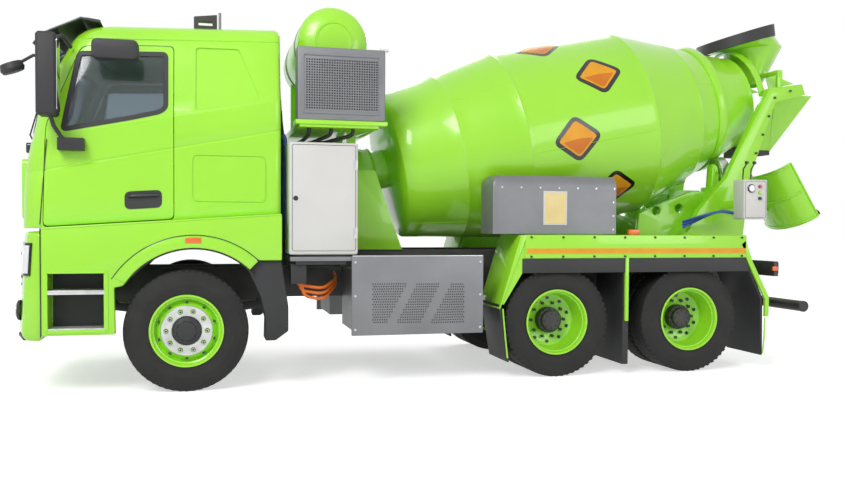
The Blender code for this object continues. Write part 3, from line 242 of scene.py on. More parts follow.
def tube(points, radius, sides=3, cyclic=False, bend=0.0):
    cu = bpy.data.curves.new("tube", "CURVE")
    cu.dimensions = "3D"
    cu.bevel_depth = radius
    cu.bevel_resolution = sides
    cu.use_fill_caps = True
    sp = cu.splines.new("POLY")
    points = bent(points, bend) if bend else points
    sp.points.add(len(points) - 1)
    for p, co in zip(sp.points, points):
        p.co = (*co, 1)
    sp.use_cyclic_u = cyclic
    return smooth(baked_curve(cu), 50)


def bent(points, radius, steps=6):
    """The route with its corners rounded."""
    pts = [Vector(p) for p in points]
    out = [pts[0]]
    for a, b, c in zip(pts, pts[1:], pts[2:]):
        r = min(radius, (a - b).length / 2.1, (c - b).length / 2.1)
        p, q = b + (a - b).normalized() * r, b + (c - b).normalized() * r
        for k in range(steps + 1):
            t = k / steps
            out.append(p.lerp(b, t).lerp(b.lerp(q, t), t))
    return out + [pts[-1]]


def baked_curve(cu):
    ob = bpy.data.objects.new("curve", cu)
    scene.collection.objects.link(ob)
    bpy.context.view_layer.update()
    me = bpy.data.meshes.new_from_object(ob.evaluated_get(bpy.context.evaluated_depsgraph_get()))
    bpy.data.objects.remove(ob)
    return me


def prism(outline, y0, y1, plane="xz"):
    """A flat outline with thickness: (station, height) from y0 to y1, or (y, height) between two stations."""
    n = len(outline)
    if plane == "xz":
        verts = [(sx(x), y, z) for y in (y0, y1) for x, z in outline]
    elif plane == "yz":
        verts = [(sx(x), y, z) for x in (y0, y1) for y, z in outline]
    else:
        verts = [(sx(x), y, z) for z in (y0, y1) for x, y in outline]
    faces = [list(range(n)), list(range(n, 2 * n))]
    faces += [[i, (i + 1) % n, n + (i + 1) % n, n + i] for i in range(n)]
    return raw(verts, faces)


def box(x0, x1, y0, y1, z0, z1, bevel=0.0):
    me = prism([(x0, z0), (x1, z0), (x1, z1), (x0, z1)], y0, y1)
    return bevelled(me, bevel) if bevel else me


def rounded(outline, radius, steps=5):
    """A closed outline with its corners rounded."""
    out = []
    n = len(outline)
    for i in range(n):
        a, b, c = (Vector(outline[(i + k) % n]) for k in (-1, 0, 1))
        r = min(radius, (a - b).length / 2.1, (c - b).length / 2.1)
        p, q = b + (a - b).normalized() * r, b + (c - b).normalized() * r
        for k in range(steps + 1):
            t = k / steps
            out.append(tuple(p.lerp(b, t).lerp(b.lerp(q, t), t)))
    return out


def grown(outline, d):
    """The outline moved out by d, or in where d is negative."""
    out = []
    n = len(outline)
    area = sum(a[0] * b[1] - b[0] * a[1] for a, b in zip(outline, outline[1:] + outline[:1]))
    for i in range(n):
        a, b, c = (Vector(outline[(i + k) % n]) for k in (-1, 0, 1))
        u, v = (b - a).normalized(), (c - b).normalized()
        normal = Vector((u.y + v.y, -u.x - v.x)).normalized() * (1 if area > 0 else -1)
        out.append(tuple(b + normal * (d / max(abs(normal.dot(Vector((u.y, -u.x)))), 0.4))))
    return out


def carved(me, *cuts, how="DIFFERENCE", angle=35):
    """The mesh cut, joined or crossed with others, one after another."""
    for other in cuts:
        tool = bpy.data.objects.new("tool", other)
        scene.collection.objects.link(tool)
        me = baked(me, ("BOOLEAN", dict(operation=how, object=tool, solver="MANIFOLD")), angle=angle)
        bpy.data.objects.remove(tool)
    return me


def merged(*meshes):
    bm = bmesh.new()
    for me in meshes:
        bm.from_mesh(me)
    out = bpy.data.meshes.new("merged")
    bm.to_mesh(out)
    bm.free()
    out.shade_smooth()
    out.set_sharp_from_angle(angle=math.radians(35))
    return out


def grid(rows, closed=False, thick=0.0, angle=35):
    """A sheet through rows of points, with a thickness if it is a plate."""
    n = len(rows[0])
    verts = [p for row in rows for p in row]
    faces = []
    for k in range(len(rows) - 1):
        for i in range(n if closed else n - 1):
            j = (i + 1) % n
            faces.append([k * n + i, k * n + j, (k + 1) * n + j, (k + 1) * n + i])
    me = raw(verts, faces, angle)
    if thick:
        me = baked(me, ("SOLIDIFY", dict(thickness=thick, offset=0.0)), angle=angle)
    return me


def rim_of(outline, inset, y0, y1):
    """A flat frame: the (station, height) outline less the same outline moved in, from y0 to y1."""
    inner = grown(outline, -inset)
    rows = [[(sx(x), y, z) for x, z in ring] for ring, y in ((outline, y0), (outline, y1), (inner, y1),
            (inner, y0))]
    return grid(rows + [rows[0]], closed=True)


# %% [markdown]
# ## Heads, nuts and holes by Geometry Nodes
# A truck has hundreds of bolt heads, rivets and perforations. One node tree makes them: it takes a mesh of bare
# points and puts a short prism on each, with the number of sides, the radius and the height as named inputs.
# The instances are realised, so that the result is a plain mesh.

# %% The tree that puts a head on every point
def new_tree(name, inputs):
    tree = bpy.data.node_groups.new(name, "GeometryNodeTree")
    tree.interface.new_socket("Geometry", in_out="INPUT", socket_type="NodeSocketGeometry")
    for label, kind in inputs:
        tree.interface.new_socket(label, in_out="INPUT", socket_type="NodeSocket" + kind)
    tree.interface.new_socket("Geometry", in_out="OUTPUT", socket_type="NodeSocketGeometry")
    return tree, tree.nodes.new("NodeGroupInput").outputs, tree.nodes.new("NodeGroupOutput").inputs


def joined(tree, *pairs):
    for a, b in pairs:
        tree.links.new(a, b)


heads_tree, given, result = new_tree("Heads on points", [("Sides", "Int"), ("Radius", "Float"),
        ("Height", "Float"), ("Look", "Material")])
head = heads_tree.nodes.new("GeometryNodeMeshCylinder")
spread = heads_tree.nodes.new("GeometryNodeInstanceOnPoints")
real = heads_tree.nodes.new("GeometryNodeRealizeInstances")
dress = heads_tree.nodes.new("GeometryNodeSetMaterial")
joined(heads_tree, (given["Sides"], head.inputs["Vertices"]), (given["Radius"], head.inputs["Radius"]),
        (given["Height"], head.inputs["Depth"]), (given["Geometry"], spread.inputs["Points"]),
        (head.outputs["Mesh"], spread.inputs["Instance"]),
        (spread.outputs["Instances"], real.inputs["Geometry"]),
        (real.outputs["Geometry"], dress.inputs["Geometry"]), (given["Look"], dress.inputs["Material"]),
        (dress.outputs["Geometry"], result["Geometry"]))


def grown_by(tree, me, values):
    """The mesh that the tree makes from a mesh, with its inputs set by their names."""
    ob = bpy.data.objects.new("seed", me)
    scene.collection.objects.link(ob)
    m = ob.modifiers.new("Nodes", "NODES")
    m.node_group = tree
    keys = {s.name: s.identifier for s in tree.interface.items_tree if s.in_out == "INPUT"}
    for label, value in values.items():
        m[keys[label]] = value
    bpy.context.view_layer.update()
    out = bpy.data.meshes.new_from_object(ob.evaluated_get(bpy.context.evaluated_depsgraph_get()))
    bpy.data.objects.remove(ob)
    return out


def heads(name, points, normal, radius, height, look, body="chassis", sides=6, angle=30):
    """Prisms at world points, standing along the normal, as one piece."""
    turn = Vector(normal).to_track_quat("Z", "Y").to_matrix().to_4x4()
    back = turn.inverted()
    me = bpy.data.meshes.new(name)
    me.from_pydata([back @ Vector(p) for p in points], [], [])
    out = grown_by(heads_tree, me, {"Sides": sides, "Radius": radius, "Height": height, "Look": look})
    out.transform(turn)
    out.shade_smooth()
    out.set_sharp_from_angle(angle=math.radians(angle))
    ob = link(name, out, look, body)
    print(name, len(points), "heads")
    return ob


# %% [markdown]
# ## Plain pressings and castings
# Many solid nodes already have the right form and only need round edges and a finish. The node itself is left
# alone: a copy of its mesh is merged, its flat faces are dissolved, and a bevel rounds what is left.

# %% Copies of the solid nodes with round edges
def dressed(node, look, width=0.006, body=None, name=None):
    me = frame["nodes"][node].data.copy()
    bm = bmesh.new()
    bm.from_mesh(me)
    bmesh.ops.remove_doubles(bm, verts=bm.verts, dist=0.00003)
    bmesh.ops.dissolve_limit(bm, angle_limit=math.radians(0.5), verts=bm.verts, edges=bm.edges)
    bm.to_mesh(me)
    bm.free()
    me = bevelled(me, width)
    ob = link(name or node + "_dressed", me, look, body or "chassis")
    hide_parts(node)
    return ob


PLAIN = {
    "chassis_frame": (STEEL_DARK, 0.004), "front_axle": (STEEL_DARK, 0.006), "axle_2": (STEEL_DARK, 0.006),
    "axle_3": (STEEL_DARK, 0.006), "bogie_spring_left": (STEEL_DARK, 0.004), "bogie_spring_right": (STEEL_DARK, 0.004),
    "front_mudguard_left": (PLASTIC, 0.012), "front_mudguard_right": (PLASTIC, 0.012),
    "cabinet_left": (PALE, 0.008), "cabinet_right": (PALE, 0.008), "front_stand": (LIME, 0.005),
    "battery_box_left": (ZINC, 0.004), "battery_box_right": (ZINC, 0.004), "rear_stand": (LIME, 0.004), "hopper": (LIME, 0.003),
    "mudguard_left": (PLASTIC, 0.003), "mudguard_right": (PLASTIC, 0.003), "rear_underrun": (STEEL_DARK, 0.006),
    "control_box": (PALE, 0.006), "cooler_box": (ZINC, 0.006), "dashboard": (PLASTIC, 0.02),
    "discharge_funnel": (LIME, 0.003), "mirror_left": (PLASTIC, 0.03), "mirror_right": (PLASTIC, 0.03),
    "steering_wheel": (BLACK, 0.004), "sun_visor": (VISOR, 0.003), "bumper": (LIME, 0.03), "tie_rod": (STEEL_DARK, 0.004),
    "knuckle_left": (STEEL_DARK, 0.004), "knuckle_right": (STEEL_DARK, 0.004), "front_mirror": (PLASTIC, 0.006),
}
CARRIED = {"mirror_left": "door_left", "mirror_right": "door_right"}
for node, (look, width) in PLAIN.items():
    body = node if node in frame["bodies"] else CARRIED.get(node, "chassis")
    dressed(node, look, width, body)
print(len(PLAIN), "nodes dressed")

# %% [markdown]
# ## The cab
# A cab is pressed from a few large panels, and its creases run the whole length of the side. The solid model's
# cab is a plain loft, so it is remade here from more sections. Each row below is one line along the side: the
# creases are rows of their own, which keeps them sharp. Doors, windows and recesses are then cut with prisms.

# %% The cab's rows, and the closed form through them
CAB_ROWS = (  # height at the door's front edge, slope to the rear, half width, front station
    (1.400, 0.067, 1.163, -1.345), (1.425, 0.067, 1.171, -1.345), (1.70, 0.100, 1.172, -1.338),
    (1.850, 0.200, 1.172, -1.330), (1.866, 0.200, 1.161, -1.329), (1.880, 0.200, 1.169, -1.328),
    (2.00, 0.200, 1.168, -1.310), (2.122, 0.200, 1.164, -1.285), (2.136, 0.200, 1.152, -1.282),
    (2.36, 0.130, 1.134, -1.236), (2.68, 0.060, 1.100, -1.120), (2.955, 0.035, 1.068, -0.975),
    (2.964, 0.035, 1.060, -0.971), (2.973, 0.035, 1.066, -0.966), (3.02, 0.035, 1.050, -0.930),
    (3.065, 0.035, 1.015, -0.880), (3.095, 0.035, 0.955, -0.830), (3.118, 0.035, 0.850, -0.760),
)
CAB_REAR = 0.80
DOOR_FRONT, DOOR_REAR = -1.14, -0.10


def sill(x):
    return 1.40 + 0.067 * (x + 1.14)


def cab_form(inset, floor=None):
    """The closed form of the cab moved in by inset, on a level floor where one is given."""
    rows = []
    corner, rear_r = 0.21, 0.055
    for k, (z, slope, hw, front) in enumerate(CAB_ROWS):
        f, r, h = front + inset, CAB_REAR - inset, hw - inset
        plan = [(f + 0.028 * (y / 5) ** 2, (h - corner) * y / 5) for y in range(5)]
        f += 0.028
        for i in range(9):
            a = math.pi / 2 * i / 8
            plan.append((f + corner * (1 - math.cos(a)), h - corner + corner * math.sin(a)))
        side = f + corner
        plan += [(side + (r - rear_r - side) * i / 12, h) for i in range(1, 13)]
        for i in range(1, 6):
            a = math.pi / 2 * i / 5
            plan.append((r - rear_r + rear_r * math.sin(a), h - rear_r + rear_r * math.cos(a)))
        plan += [(r, (h - rear_r) * t) for t in (0.66, 0.33)]
        plan += [(r, 0.0)] + [(x, -y) for x, y in reversed(plan[1:])]
        top = inset if k > len(CAB_ROWS) - 4 else 0.0
        rows.append([(sx(x), y, z - top + slope * (x + 1.14)) for x, y in plan])
    if floor is not None:
        rows = [row for row in rows if min(p[2] for p in row) > floor + 0.05]
        rows.insert(0, [(x, y, floor) for x, y, z in rows[0]])
    n = len(rows[0])
    verts = [p for row in rows for p in row]
    faces = [[k * n + i, k * n + (i + 1) % n, (k + 1) * n + (i + 1) % n, (k + 1) * n + i]
             for k in range(len(rows) - 1) for i in range(n)]
    for base in (0, (len(rows) - 1) * n):
        mid = sum((Vector(v) for v in verts[base:base + n]), Vector()) / n
        verts.append(mid)
        faces += [[base + i, base + (i + 1) % n, len(verts) - 1] for i in range(n)]
    return raw(verts, faces, 28)


def door_edge(d):
    f, r = DOOR_FRONT + d, DOOR_REAR - d
    low = 1.5 * d - 0.002
    return rounded([(f, sill(f) + low), (r, sill(r) + low), (r, 2.952 - d), (r - 0.6, 2.935 - d),
            (f + 0.29, 2.91 - d), (f + 0.02, 2.24)], 0.045)


WINDOW = rounded([(-0.98, 2.21), (-0.44, 2.325), (-0.22, 2.38), (-0.17, 2.42), (-0.17, 2.875), (-0.86, 2.85)],
        0.03)
SCREEN = rounded([(-0.98, 2.20), (0.98, 2.20), (0.90, 2.90), (-0.90, 2.90)], 0.05)
cab_outer = cab_form(0.0)
cab_skin = carved(cab_form(0.0), cab_form(0.052, floor=1.60))
cab_shell_thin = carved(cab_form(-0.003), cab_form(0.006), angle=30)
cab_core = cab_form(0.047, floor=1.2)
print("cab form", len(cab_outer.polygons), "faces")

# %% [markdown]
# The doorways, the deep panel behind each door, the fine groove of the side flap and the windscreen are all cut
# from that one skin. Prisms that stop short of the far side keep left and right apart. A shallow recess is a
# prism less the same form moved in, so its floor follows the cab's curve.

# %% Cut the cab, and add its grooves
TRAPEZE = rounded([(0.08, 2.95), (0.44, 2.955), (0.63, 2.50), (0.075, 2.395)], 0.03)
FLAP = rounded([(0.05, 1.62), (0.67, 1.62), (0.67, 2.02), (0.05, 2.02)], 0.055)
for side, s in SIDES:
    lo, hi = (s * 1.6, s * 0.85)
    way = prism(door_edge(0.0), lo, hi)
    cab_skin = carved(cab_skin, way, carved(prism(TRAPEZE, lo, hi), cab_form(0.012)))
    ring = carved(prism(FLAP, lo, hi), prism(grown(FLAP, -0.006), s * 1.7, s * 0.8), cab_form(0.008))
    cab_skin = carved(cab_skin, ring)
cab_skin = carved(cab_skin, prism(SCREEN, -1.6, -0.80, "yz"))
cab = link("cab_panels", cab_skin, LIME)
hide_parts("cab_shell")
print("cab panels", len(cab_skin.polygons), "faces")

# %% Doors, windows and their rubber frames
for side, s in SIDES:
    lo, hi = s * 1.6, s * 0.85
    door_body = "door_" + side
    door = carved(prism(door_edge(0.006), lo, hi), cab_outer, how="INTERSECT", angle=28)
    door = carved(door, cab_core, prism(WINDOW, lo, hi), angle=28)
    ob = link("door_panel_" + side, door, LIME, door_body)
    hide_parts("door_" + side)
    seal = carved(carved(prism(grown(WINDOW, 0.022), lo, hi), prism(grown(WINDOW, -0.018), s * 1.7, s * 0.8)),
                  cab_shell_thin, how="INTERSECT")
    link("window_seal_" + side, seal, PLASTIC, door_body)
    pane = carved(prism(WINDOW, lo, hi), cab_form(0.010), how="INTERSECT")
    pane = carved(pane, cab_form(0.015))
    ob = link("window_" + side, pane, GLASS, door_body)
    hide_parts("door_glass_" + side)
seal = carved(carved(prism(grown(SCREEN, 0.03), -1.6, -0.8, "yz"), prism(grown(SCREEN, -0.03), -1.7, -0.7,
        "yz")), cab_shell_thin, how="INTERSECT")
link("windscreen_seal", seal, PLASTIC)
pane = carved(carved(prism(SCREEN, -1.6, -0.8, "yz"), cab_form(0.010), how="INTERSECT"), cab_form(0.016))
ob = link("windscreen", pane, GLASS)
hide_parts("windshield")

# %% [markdown]
# ## Wheels
# A truck tyre has a wide flat tread with straight grooves, a square shoulder and a nearly flat sidewall. Its
# profile is turned once about the axle, and a second node tree sets a ring of blocks round each shoulder. The
# front rim bulges out, so its nuts and their bright ring show; a rear rim is a deep dish with the hub in it.

# %% Tyre, and the tree that sets blocks round a ring
TYRE_R, RIM_R = 0.52, 0.2985
blocks_tree, given, result = new_tree("Blocks round a ring", [("Count", "Int"), ("Ring radius", "Float"),
                                                              ("Block", "Vector"), ("Look", "Material")])
ring = blocks_tree.nodes.new("GeometryNodeMeshCircle")
cube = blocks_tree.nodes.new("GeometryNodeMeshCube")
place = blocks_tree.nodes.new("GeometryNodeInstanceOnPoints")
aim = blocks_tree.nodes.new("FunctionNodeAlignRotationToVector")
where = blocks_tree.nodes.new("GeometryNodeInputPosition")
real = blocks_tree.nodes.new("GeometryNodeRealizeInstances")
dress = blocks_tree.nodes.new("GeometryNodeSetMaterial")
aim.axis = "X"
joined(blocks_tree, (given["Count"], ring.inputs["Vertices"]), (given["Ring radius"], ring.inputs["Radius"]),
        (given["Block"], cube.inputs["Size"]), (ring.outputs["Mesh"], place.inputs["Points"]),
        (cube.outputs["Mesh"], place.inputs["Instance"]), (where.outputs["Position"], aim.inputs["Vector"]),
        (aim.outputs["Rotation"], place.inputs["Rotation"]),
        (place.outputs["Instances"], real.inputs["Geometry"]),
        (real.outputs["Geometry"], dress.inputs["Geometry"]), (given["Look"], dress.inputs["Material"]),
        (dress.outputs["Geometry"], result["Geometry"]))


def ring_of_blocks(name, at, axis, height, count, radius, block, look, body):
    me = grown_by(blocks_tree, bpy.data.meshes.new(name), {"Count": count, "Ring radius": radius,
            "Block": block, "Look": look})
    turn = Vector((0, 0, 1)).rotation_difference(Vector(axis)).to_matrix().to_4x4()
    me.transform(Matrix.Translation(at) @ turn @ Matrix.Translation((0, 0, height)))
    return link(name, me, look, body)


def tyre_profile(mid):
    half = [(RIM_R + 0.004, 0.118), (0.312, 0.128), (0.330, 0.134), (0.334, 0.132), (0.350, 0.138),
            (0.400, 0.1445), (0.404, 0.1430), (0.430, 0.1440), (0.458, 0.1395), (0.462, 0.1370),
            (0.488, 0.1300), (0.507, 0.1220), (0.516, 0.1130), (TYRE_R, 0.104)]
    for groove in (0.078, 0.030):
        half += [(TYRE_R, groove + 0.006), (TYRE_R - 0.013, groove + 0.004), (TYRE_R - 0.013, groove - 0.004),
                 (TYRE_R, groove - 0.006)]
    return [(r, mid + h) for r, h in half] + [(r, mid - h) for r, h in reversed(half)]


def tyre(name, at, s, mids, body):
    """One tyre or a twin pair on a wheel, with its shoulder blocks."""
    out = []
    for k, mid in enumerate(mids):
        out.append(turned(tyre_profile(mid), at, (0, s, 0), 96, angle=25))
        for h in (-0.1165, 0.1165):
            ring_of_blocks("%s_lugs_%d%s" % (name, k, "ab"[h > 0]), at, (0, s, 0), mid + h, 56, 0.5075,
                           (0.021, 0.026, 0.020), RUBBER if k == 0 else DUSTY, body)
    return link(name, merged(*out) if len(out) > 1 else out[0], RUBBER, body)


def around(at, s, radius, height, count, phase=0.0):
    """Points in a ring round an axle that runs along Y."""
    return [Vector(at) + Vector((radius * math.cos(a), s * height, radius * math.sin(a)))
            for a in (2 * math.pi * (i + phase) / count for i in range(count))]


# %% Front wheels
for side, s in SIDES:
    body = "wheel_front_" + side
    at = Vector(JOINTS["spin_front_" + side]["pos_m"])
    edge, inner = 0.132, RIM_R - 0.013
    ob = tyre("tyre_front_" + side, at, s, (0.0,), body)
    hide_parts(body)
    rim = [(RIM_R + 0.012, edge), (RIM_R + 0.010, edge + 0.006), (RIM_R - 0.004, edge + 0.006),
            (inner, edge - 0.006), (inner - 0.004, edge - 0.030), (inner - 0.016, edge - 0.036),
            (inner - 0.020, 0.045), (0.258, 0.040), (0.225, 0.082), (0.205, 0.096), (0.110, 0.098),
            (0.110, 0.085), (0.205, 0.083), (0.222, 0.068), (0.262, 0.020), (inner + 0.006, 0.0),
            (inner + 0.004, -edge), (RIM_R + 0.012, -edge)]
    link("rim_front_" + side, turned(rim, at, (0, s, 0), 72), LIME, body)
    link("nut_ring_" + side, turned([(0.122, 0.097), (0.122, 0.104), (0.128, 0.108), (0.212, 0.108),
            (0.218, 0.103), (0.218, 0.090), (0.122, 0.090)], at, (0, s, 0), 64), SILVER, body)
    link("hub_cap_" + side, turned([(0, 0.150), (0.060, 0.150), (0.078, 0.146), (0.084, 0.136), (0.104, 0.130),
            (0.117, 0.120), (0.121, 0.100), (0.121, 0.02), (0.05, 0.02), (0.05, 0.06), (0, 0.06)], at,
            (0, s, 0), 48), PLASTIC, body)
    axis = (0, s, 0)
    heads("hub_bolts_" + side, around(at, s, 0.095, 0.135, 8, 0.3), axis, 0.007, 0.012, STEEL_DARK, body)
    heads("nut_seats_" + side, around(at, s, 0.170, 0.110, 10), axis, 0.024, 0.010, LIME, body, sides=20)
    heads("nut_washers_" + side, around(at, s, 0.170, 0.114, 10), axis, 0.019, 0.010, STEEL_DARK, body,
            sides=16)
    heads("wheel_nuts_" + side, around(at, s, 0.170, 0.126, 10), axis, 0.0155, 0.026, SILVER, body)
    heads("stud_ends_" + side, around(at, s, 0.170, 0.140, 10), axis, 0.009, 0.014, STEEL_DARK, body, sides=12)
    heads("hand_holes_" + side, around(at, s, 0.2385, 0.068, 10, 0.5), axis, 0.013, 0.014, BLACK, body,
            sides=20)

# %% Rear wheels, with twin tyres on each
for number in (2, 3):
    for side, s in SIDES:
        body = "wheel_%d_%s" % (number, side)
        at = Vector(JOINTS["spin_%d_%s" % (number, side)]["pos_m"])
        tag = "%d_%s" % (number, side)
        ob = tyre("tyres_" + tag, at, s, (0.16, -0.16), body)
        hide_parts(body)
        edge, inner = 0.292, RIM_R - 0.013
        rim = [(RIM_R + 0.012, edge), (RIM_R + 0.010, edge + 0.006), (RIM_R - 0.004, edge + 0.006),
               (inner, edge - 0.006), (inner - 0.003, edge - 0.030), (inner - 0.012, edge - 0.036),
               (inner - 0.022, 0.090), (inner - 0.034, 0.060), (0.225, 0.046), (0.205, 0.036), (0.06, 0.036),
               (0.06, 0.012), (0.20, 0.012), (0.262, 0.02), (inner + 0.004, 0.03), (inner + 0.006, edge - 0.03)]
        out = [turned(rim, at, (0, s, 0), 72)]
        out.append(turned([(RIM_R + 0.012, -0.292), (inner, -0.292), (inner - 0.01, 0.02),
                (inner + 0.006, 0.03), (RIM_R + 0.004, -0.25)], at, (0, s, 0), 48))
        link("rims_" + tag, merged(*out), LIME, body)
        hub = [(0, 0.165), (0.085, 0.165), (0.095, 0.158), (0.098, 0.120), (0.120, 0.112), (0.124, 0.100),
               (0.124, 0.030), (0.06, 0.030), (0.06, 0.006), (0, 0.006)]
        link("hub_" + tag, turned(hub, at, (0, s, 0), 48), STEEL_DARK, body)
        axis = (0, s, 0)
        heads("hub_rim_bolts_" + tag, around(at, s, 0.110, 0.116, 12), axis, 0.008, 0.016, BLACK, body)
        heads("hub_cover_bolts_" + tag, around(at, s, 0.070, 0.168, 8), axis, 0.008, 0.012, BLACK, body)
        heads("wheel_nuts_" + tag, around(at, s, 0.168, 0.050, 10), axis, 0.016, 0.030, STEEL_DARK, body)
        heads("hand_holes_" + tag, around(at, s, 0.214, 0.042, 10, 0.5), axis, 0.017, 0.012, BLACK, body,
                sides=20)

# %% [markdown]
# ## The drum
# The drum is rolled from cones and a cylinder and welded. It is turned once with many steps, with a weld bead at
# each round seam, and a steel tyre where the rollers run, here in the shell's paint. Bold lozenges in orange and black
# sit on the cylinder: each is a small sheet bent to the drum's radius, so that it follows the surface exactly.

# %% Drum shell, seams and roller tyre
SPIN = JOINTS["drum_spin"]
DRUM_MID = Vector(SPIN["pos_m"])
AXIS = Vector(SPIN["axis"]).normalized()
DRUM_UP = AXIS.cross(Vector((0, 1, 0))) * -1
DRUM_R, HEAD_S, HEAD_R, CYL = 0.983, -1.94, 0.728, (-0.73, 0.659)
MOUTH_S, MOUTH_R, RING_S, RING_R, FLANGE_R, FLANGE_S = 2.09, 0.497, 1.592, 0.70, 0.20, -2.12


def drum_r(s):
    """The shell's radius at a station on its axis."""
    if s < CYL[0]:
        return HEAD_R + (DRUM_R - HEAD_R) * (s - HEAD_S) / (CYL[0] - HEAD_S)
    if s > CYL[1]:
        return DRUM_R + (MOUTH_R - DRUM_R) * (s - CYL[1]) / (MOUTH_S - CYL[1])
    return DRUM_R


def on_drum(s, angle, lift=0.0):
    """A point on the shell; the angle runs from the top towards the left side."""
    r = drum_r(s) + lift
    return DRUM_MID + AXIS * s + DRUM_UP * (r * math.cos(angle)) - Vector((0, 1, 0)) * (r * math.sin(angle))


profile = [(MOUTH_R - 0.018, MOUTH_S), (MOUTH_R + 0.012, MOUTH_S + 0.006), (MOUTH_R + 0.012, MOUTH_S - 0.03),
           (drum_r(MOUTH_S - 0.035), MOUTH_S - 0.035)]
seams = (1.30, CYL[1], CYL[0], -1.36)
stations = sorted({round(1.98 - 0.14 * k, 3) for k in range(28)} | set(seams), reverse=True)
for s in stations:
    if s in seams:
        profile += [(drum_r(s + 0.006), s + 0.006), (drum_r(s) + 0.0025, s), (drum_r(s - 0.006), s - 0.006)]
    elif HEAD_S + 0.05 < s < MOUTH_S - 0.05 and min(abs(s - q) for q in seams) > 0.03:
        profile.append((drum_r(s), s))
profile += [(HEAD_R, HEAD_S), (HEAD_R - 0.01, HEAD_S - 0.008), (HEAD_R * 0.75, HEAD_S - 0.035),
        (0.30, HEAD_S - 0.052), (FLANGE_R, HEAD_S - 0.06), (FLANGE_R, FLANGE_S), (0, FLANGE_S),
        (0, HEAD_S - 0.03), (HEAD_R - 0.03, HEAD_S + 0.02), (DRUM_R - 0.02, CYL[0]), (DRUM_R - 0.02, CYL[1]),
        (MOUTH_R - 0.02, MOUTH_S - 0.02)]
shell = turned(profile, DRUM_MID, AXIS, 144, angle=40)
drum = link("drum_shell", shell, LIME, "drum")
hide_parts("drum")
w = 0.045
link("roller_tyre", turned([(drum_r(RING_S + w) - 0.005, RING_S + w + 0.012), (RING_R - 0.004, RING_S + w),
        (RING_R, RING_S + w - 0.006), (RING_R, RING_S - w + 0.006), (RING_R - 0.004, RING_S - w),
        (drum_r(RING_S - w) - 0.008, RING_S - w - 0.006)], DRUM_MID, AXIS, 96), LIME, "drum")
heads("drum_flange_bolts", [DRUM_MID + AXIS * (HEAD_S - 0.066) + (DRUM_UP * math.cos(a) + Vector((0, 1,
        0)) * math.sin(a)) * 0.165 for a in (2 * math.pi * i / 12 for i in range(12))], -AXIS, 0.014, 0.024,
        STEEL_DARK, "drum")

# %% Lozenges on the cylinder and lengthwise seams
def divided(outline, step):
    """The same outline with points at most a step apart, so that a bent sheet hugs the drum."""
    out = []
    for a, b in zip(outline, outline[1:] + outline[:1]):
        a, b = Vector(a), Vector(b)
        n = max(1, math.ceil((b - a).length / step))
        out += [tuple(a.lerp(b, i / n)) for i in range(n)]
    return out


def decal(outline, s0, angle, lift):
    """A closed outline of (along, round) bent to the drum about a station and an angle."""
    outline = divided(outline, 0.02)
    verts = [on_drum(s0, angle, lift)]
    for t in (0.25, 0.5, 0.75, 1.0):
        verts += [on_drum(s0 + x * t, angle + y * t / DRUM_R, lift) for x, y in outline]
    n = len(outline)
    faces = [[0, 1 + i, 1 + (i + 1) % n] for i in range(n)]
    faces += [[1 + k * n + i, 1 + k * n + (i + 1) % n, 1 + (k + 1) * n + (i + 1) % n, 1 + (k + 1) * n + i]
              for k in range(3) for i in range(n)]
    return baked(raw(verts, faces), ("SOLIDIFY", dict(thickness=0.0012, offset=0.0)))


LOZENGES = 10
LOZENGE = rounded([(0.27, 0.0), (0.0, 0.24), (-0.27, 0.0), (0.0, -0.24)], 0.08)
HALF = rounded([(0.165, -0.012), (-0.165, -0.012), (0.0, -0.158)], 0.03)
marks = {"lozenge_edges": (BLACK, []), "lozenge_faces": (ORANGE, []), "lozenge_lows": (AMBER_PAINT, [])}
for k in range(LOZENGES):
    a = 2 * math.pi * (k + 0.35) / LOZENGES
    s0 = 0.16 if k % 2 else -0.24
    for (look, sheets), outline, lift in zip(marks.values(), (LOZENGE, grown(LOZENGE, -0.042), HALF),
                                             (0.0015, 0.0030, 0.0045)):
        sheets.append(decal(outline, s0, a, lift))
for name, (look, sheets) in marks.items():
    link(name, merged(*sheets), look, "drum")
beads = []
for (s0, s1), phase in (((HEAD_S + 0.02, -1.37), 0.2), ((-1.35, CYL[0] - 0.01), 0.7),
        ((CYL[0] + 0.01, CYL[1] - 0.01), 0.45), ((CYL[1] + 0.01, 1.29), 0.1), ((1.31, RING_S - 0.06), 0.6)):
    for k in range(2):
        a = math.pi * (phase + k)
        beads.append(tube([on_drum(s0 + (s1 - s0) * i / 8, a) for i in range(9)], 0.0025, sides=2))
link("drum_seams", merged(*beads), LIME, "drum")
for side, s in SIDES:
    joint = JOINTS["roller_spin_" + side]
    ob = link("roller_wheel_" + side, turned([(0, 0.055), (0.045, 0.055), (0.05, 0.05), (0.055, 0.045),
            (0.124, 0.045), (0.13, 0.040), (0.13, -0.05), (0.125, -0.055), (0.036, -0.055), (0.036, -0.0244),
            (0, -0.0244)], joint["pos_m"], joint["axis"], 48), SILVER, "roller_" + side)
    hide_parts("roller_" + side)

# %% [markdown]
# ## Lower panels, steps and wheel arches
# Below each door hangs a panel with a deep step well and a round wheel arch. The arch carries a raised flare, so
# its rim is one prism between two arcs. The treads are bright checker plate. A round well behind the panel's face
# leaves room for the steered tyre.

# %% Lower panels
ARCH_X, ARCH_Z, ARCH_R = 0.06, 0.56, 0.67
PANEL_IN, WELL_IN = 0.93, 1.0     # inner faces of the step box and of its well


def arc(cx, cz, r, a0, a1, steps):
    """Points on an arc, from one angle to another, in degrees."""
    return [(cx + r * math.cos(math.radians(a0 + (a1 - a0) * i / steps)),
             cz + r * math.sin(math.radians(a0 + (a1 - a0) * i / steps))) for i in range(steps + 1)]


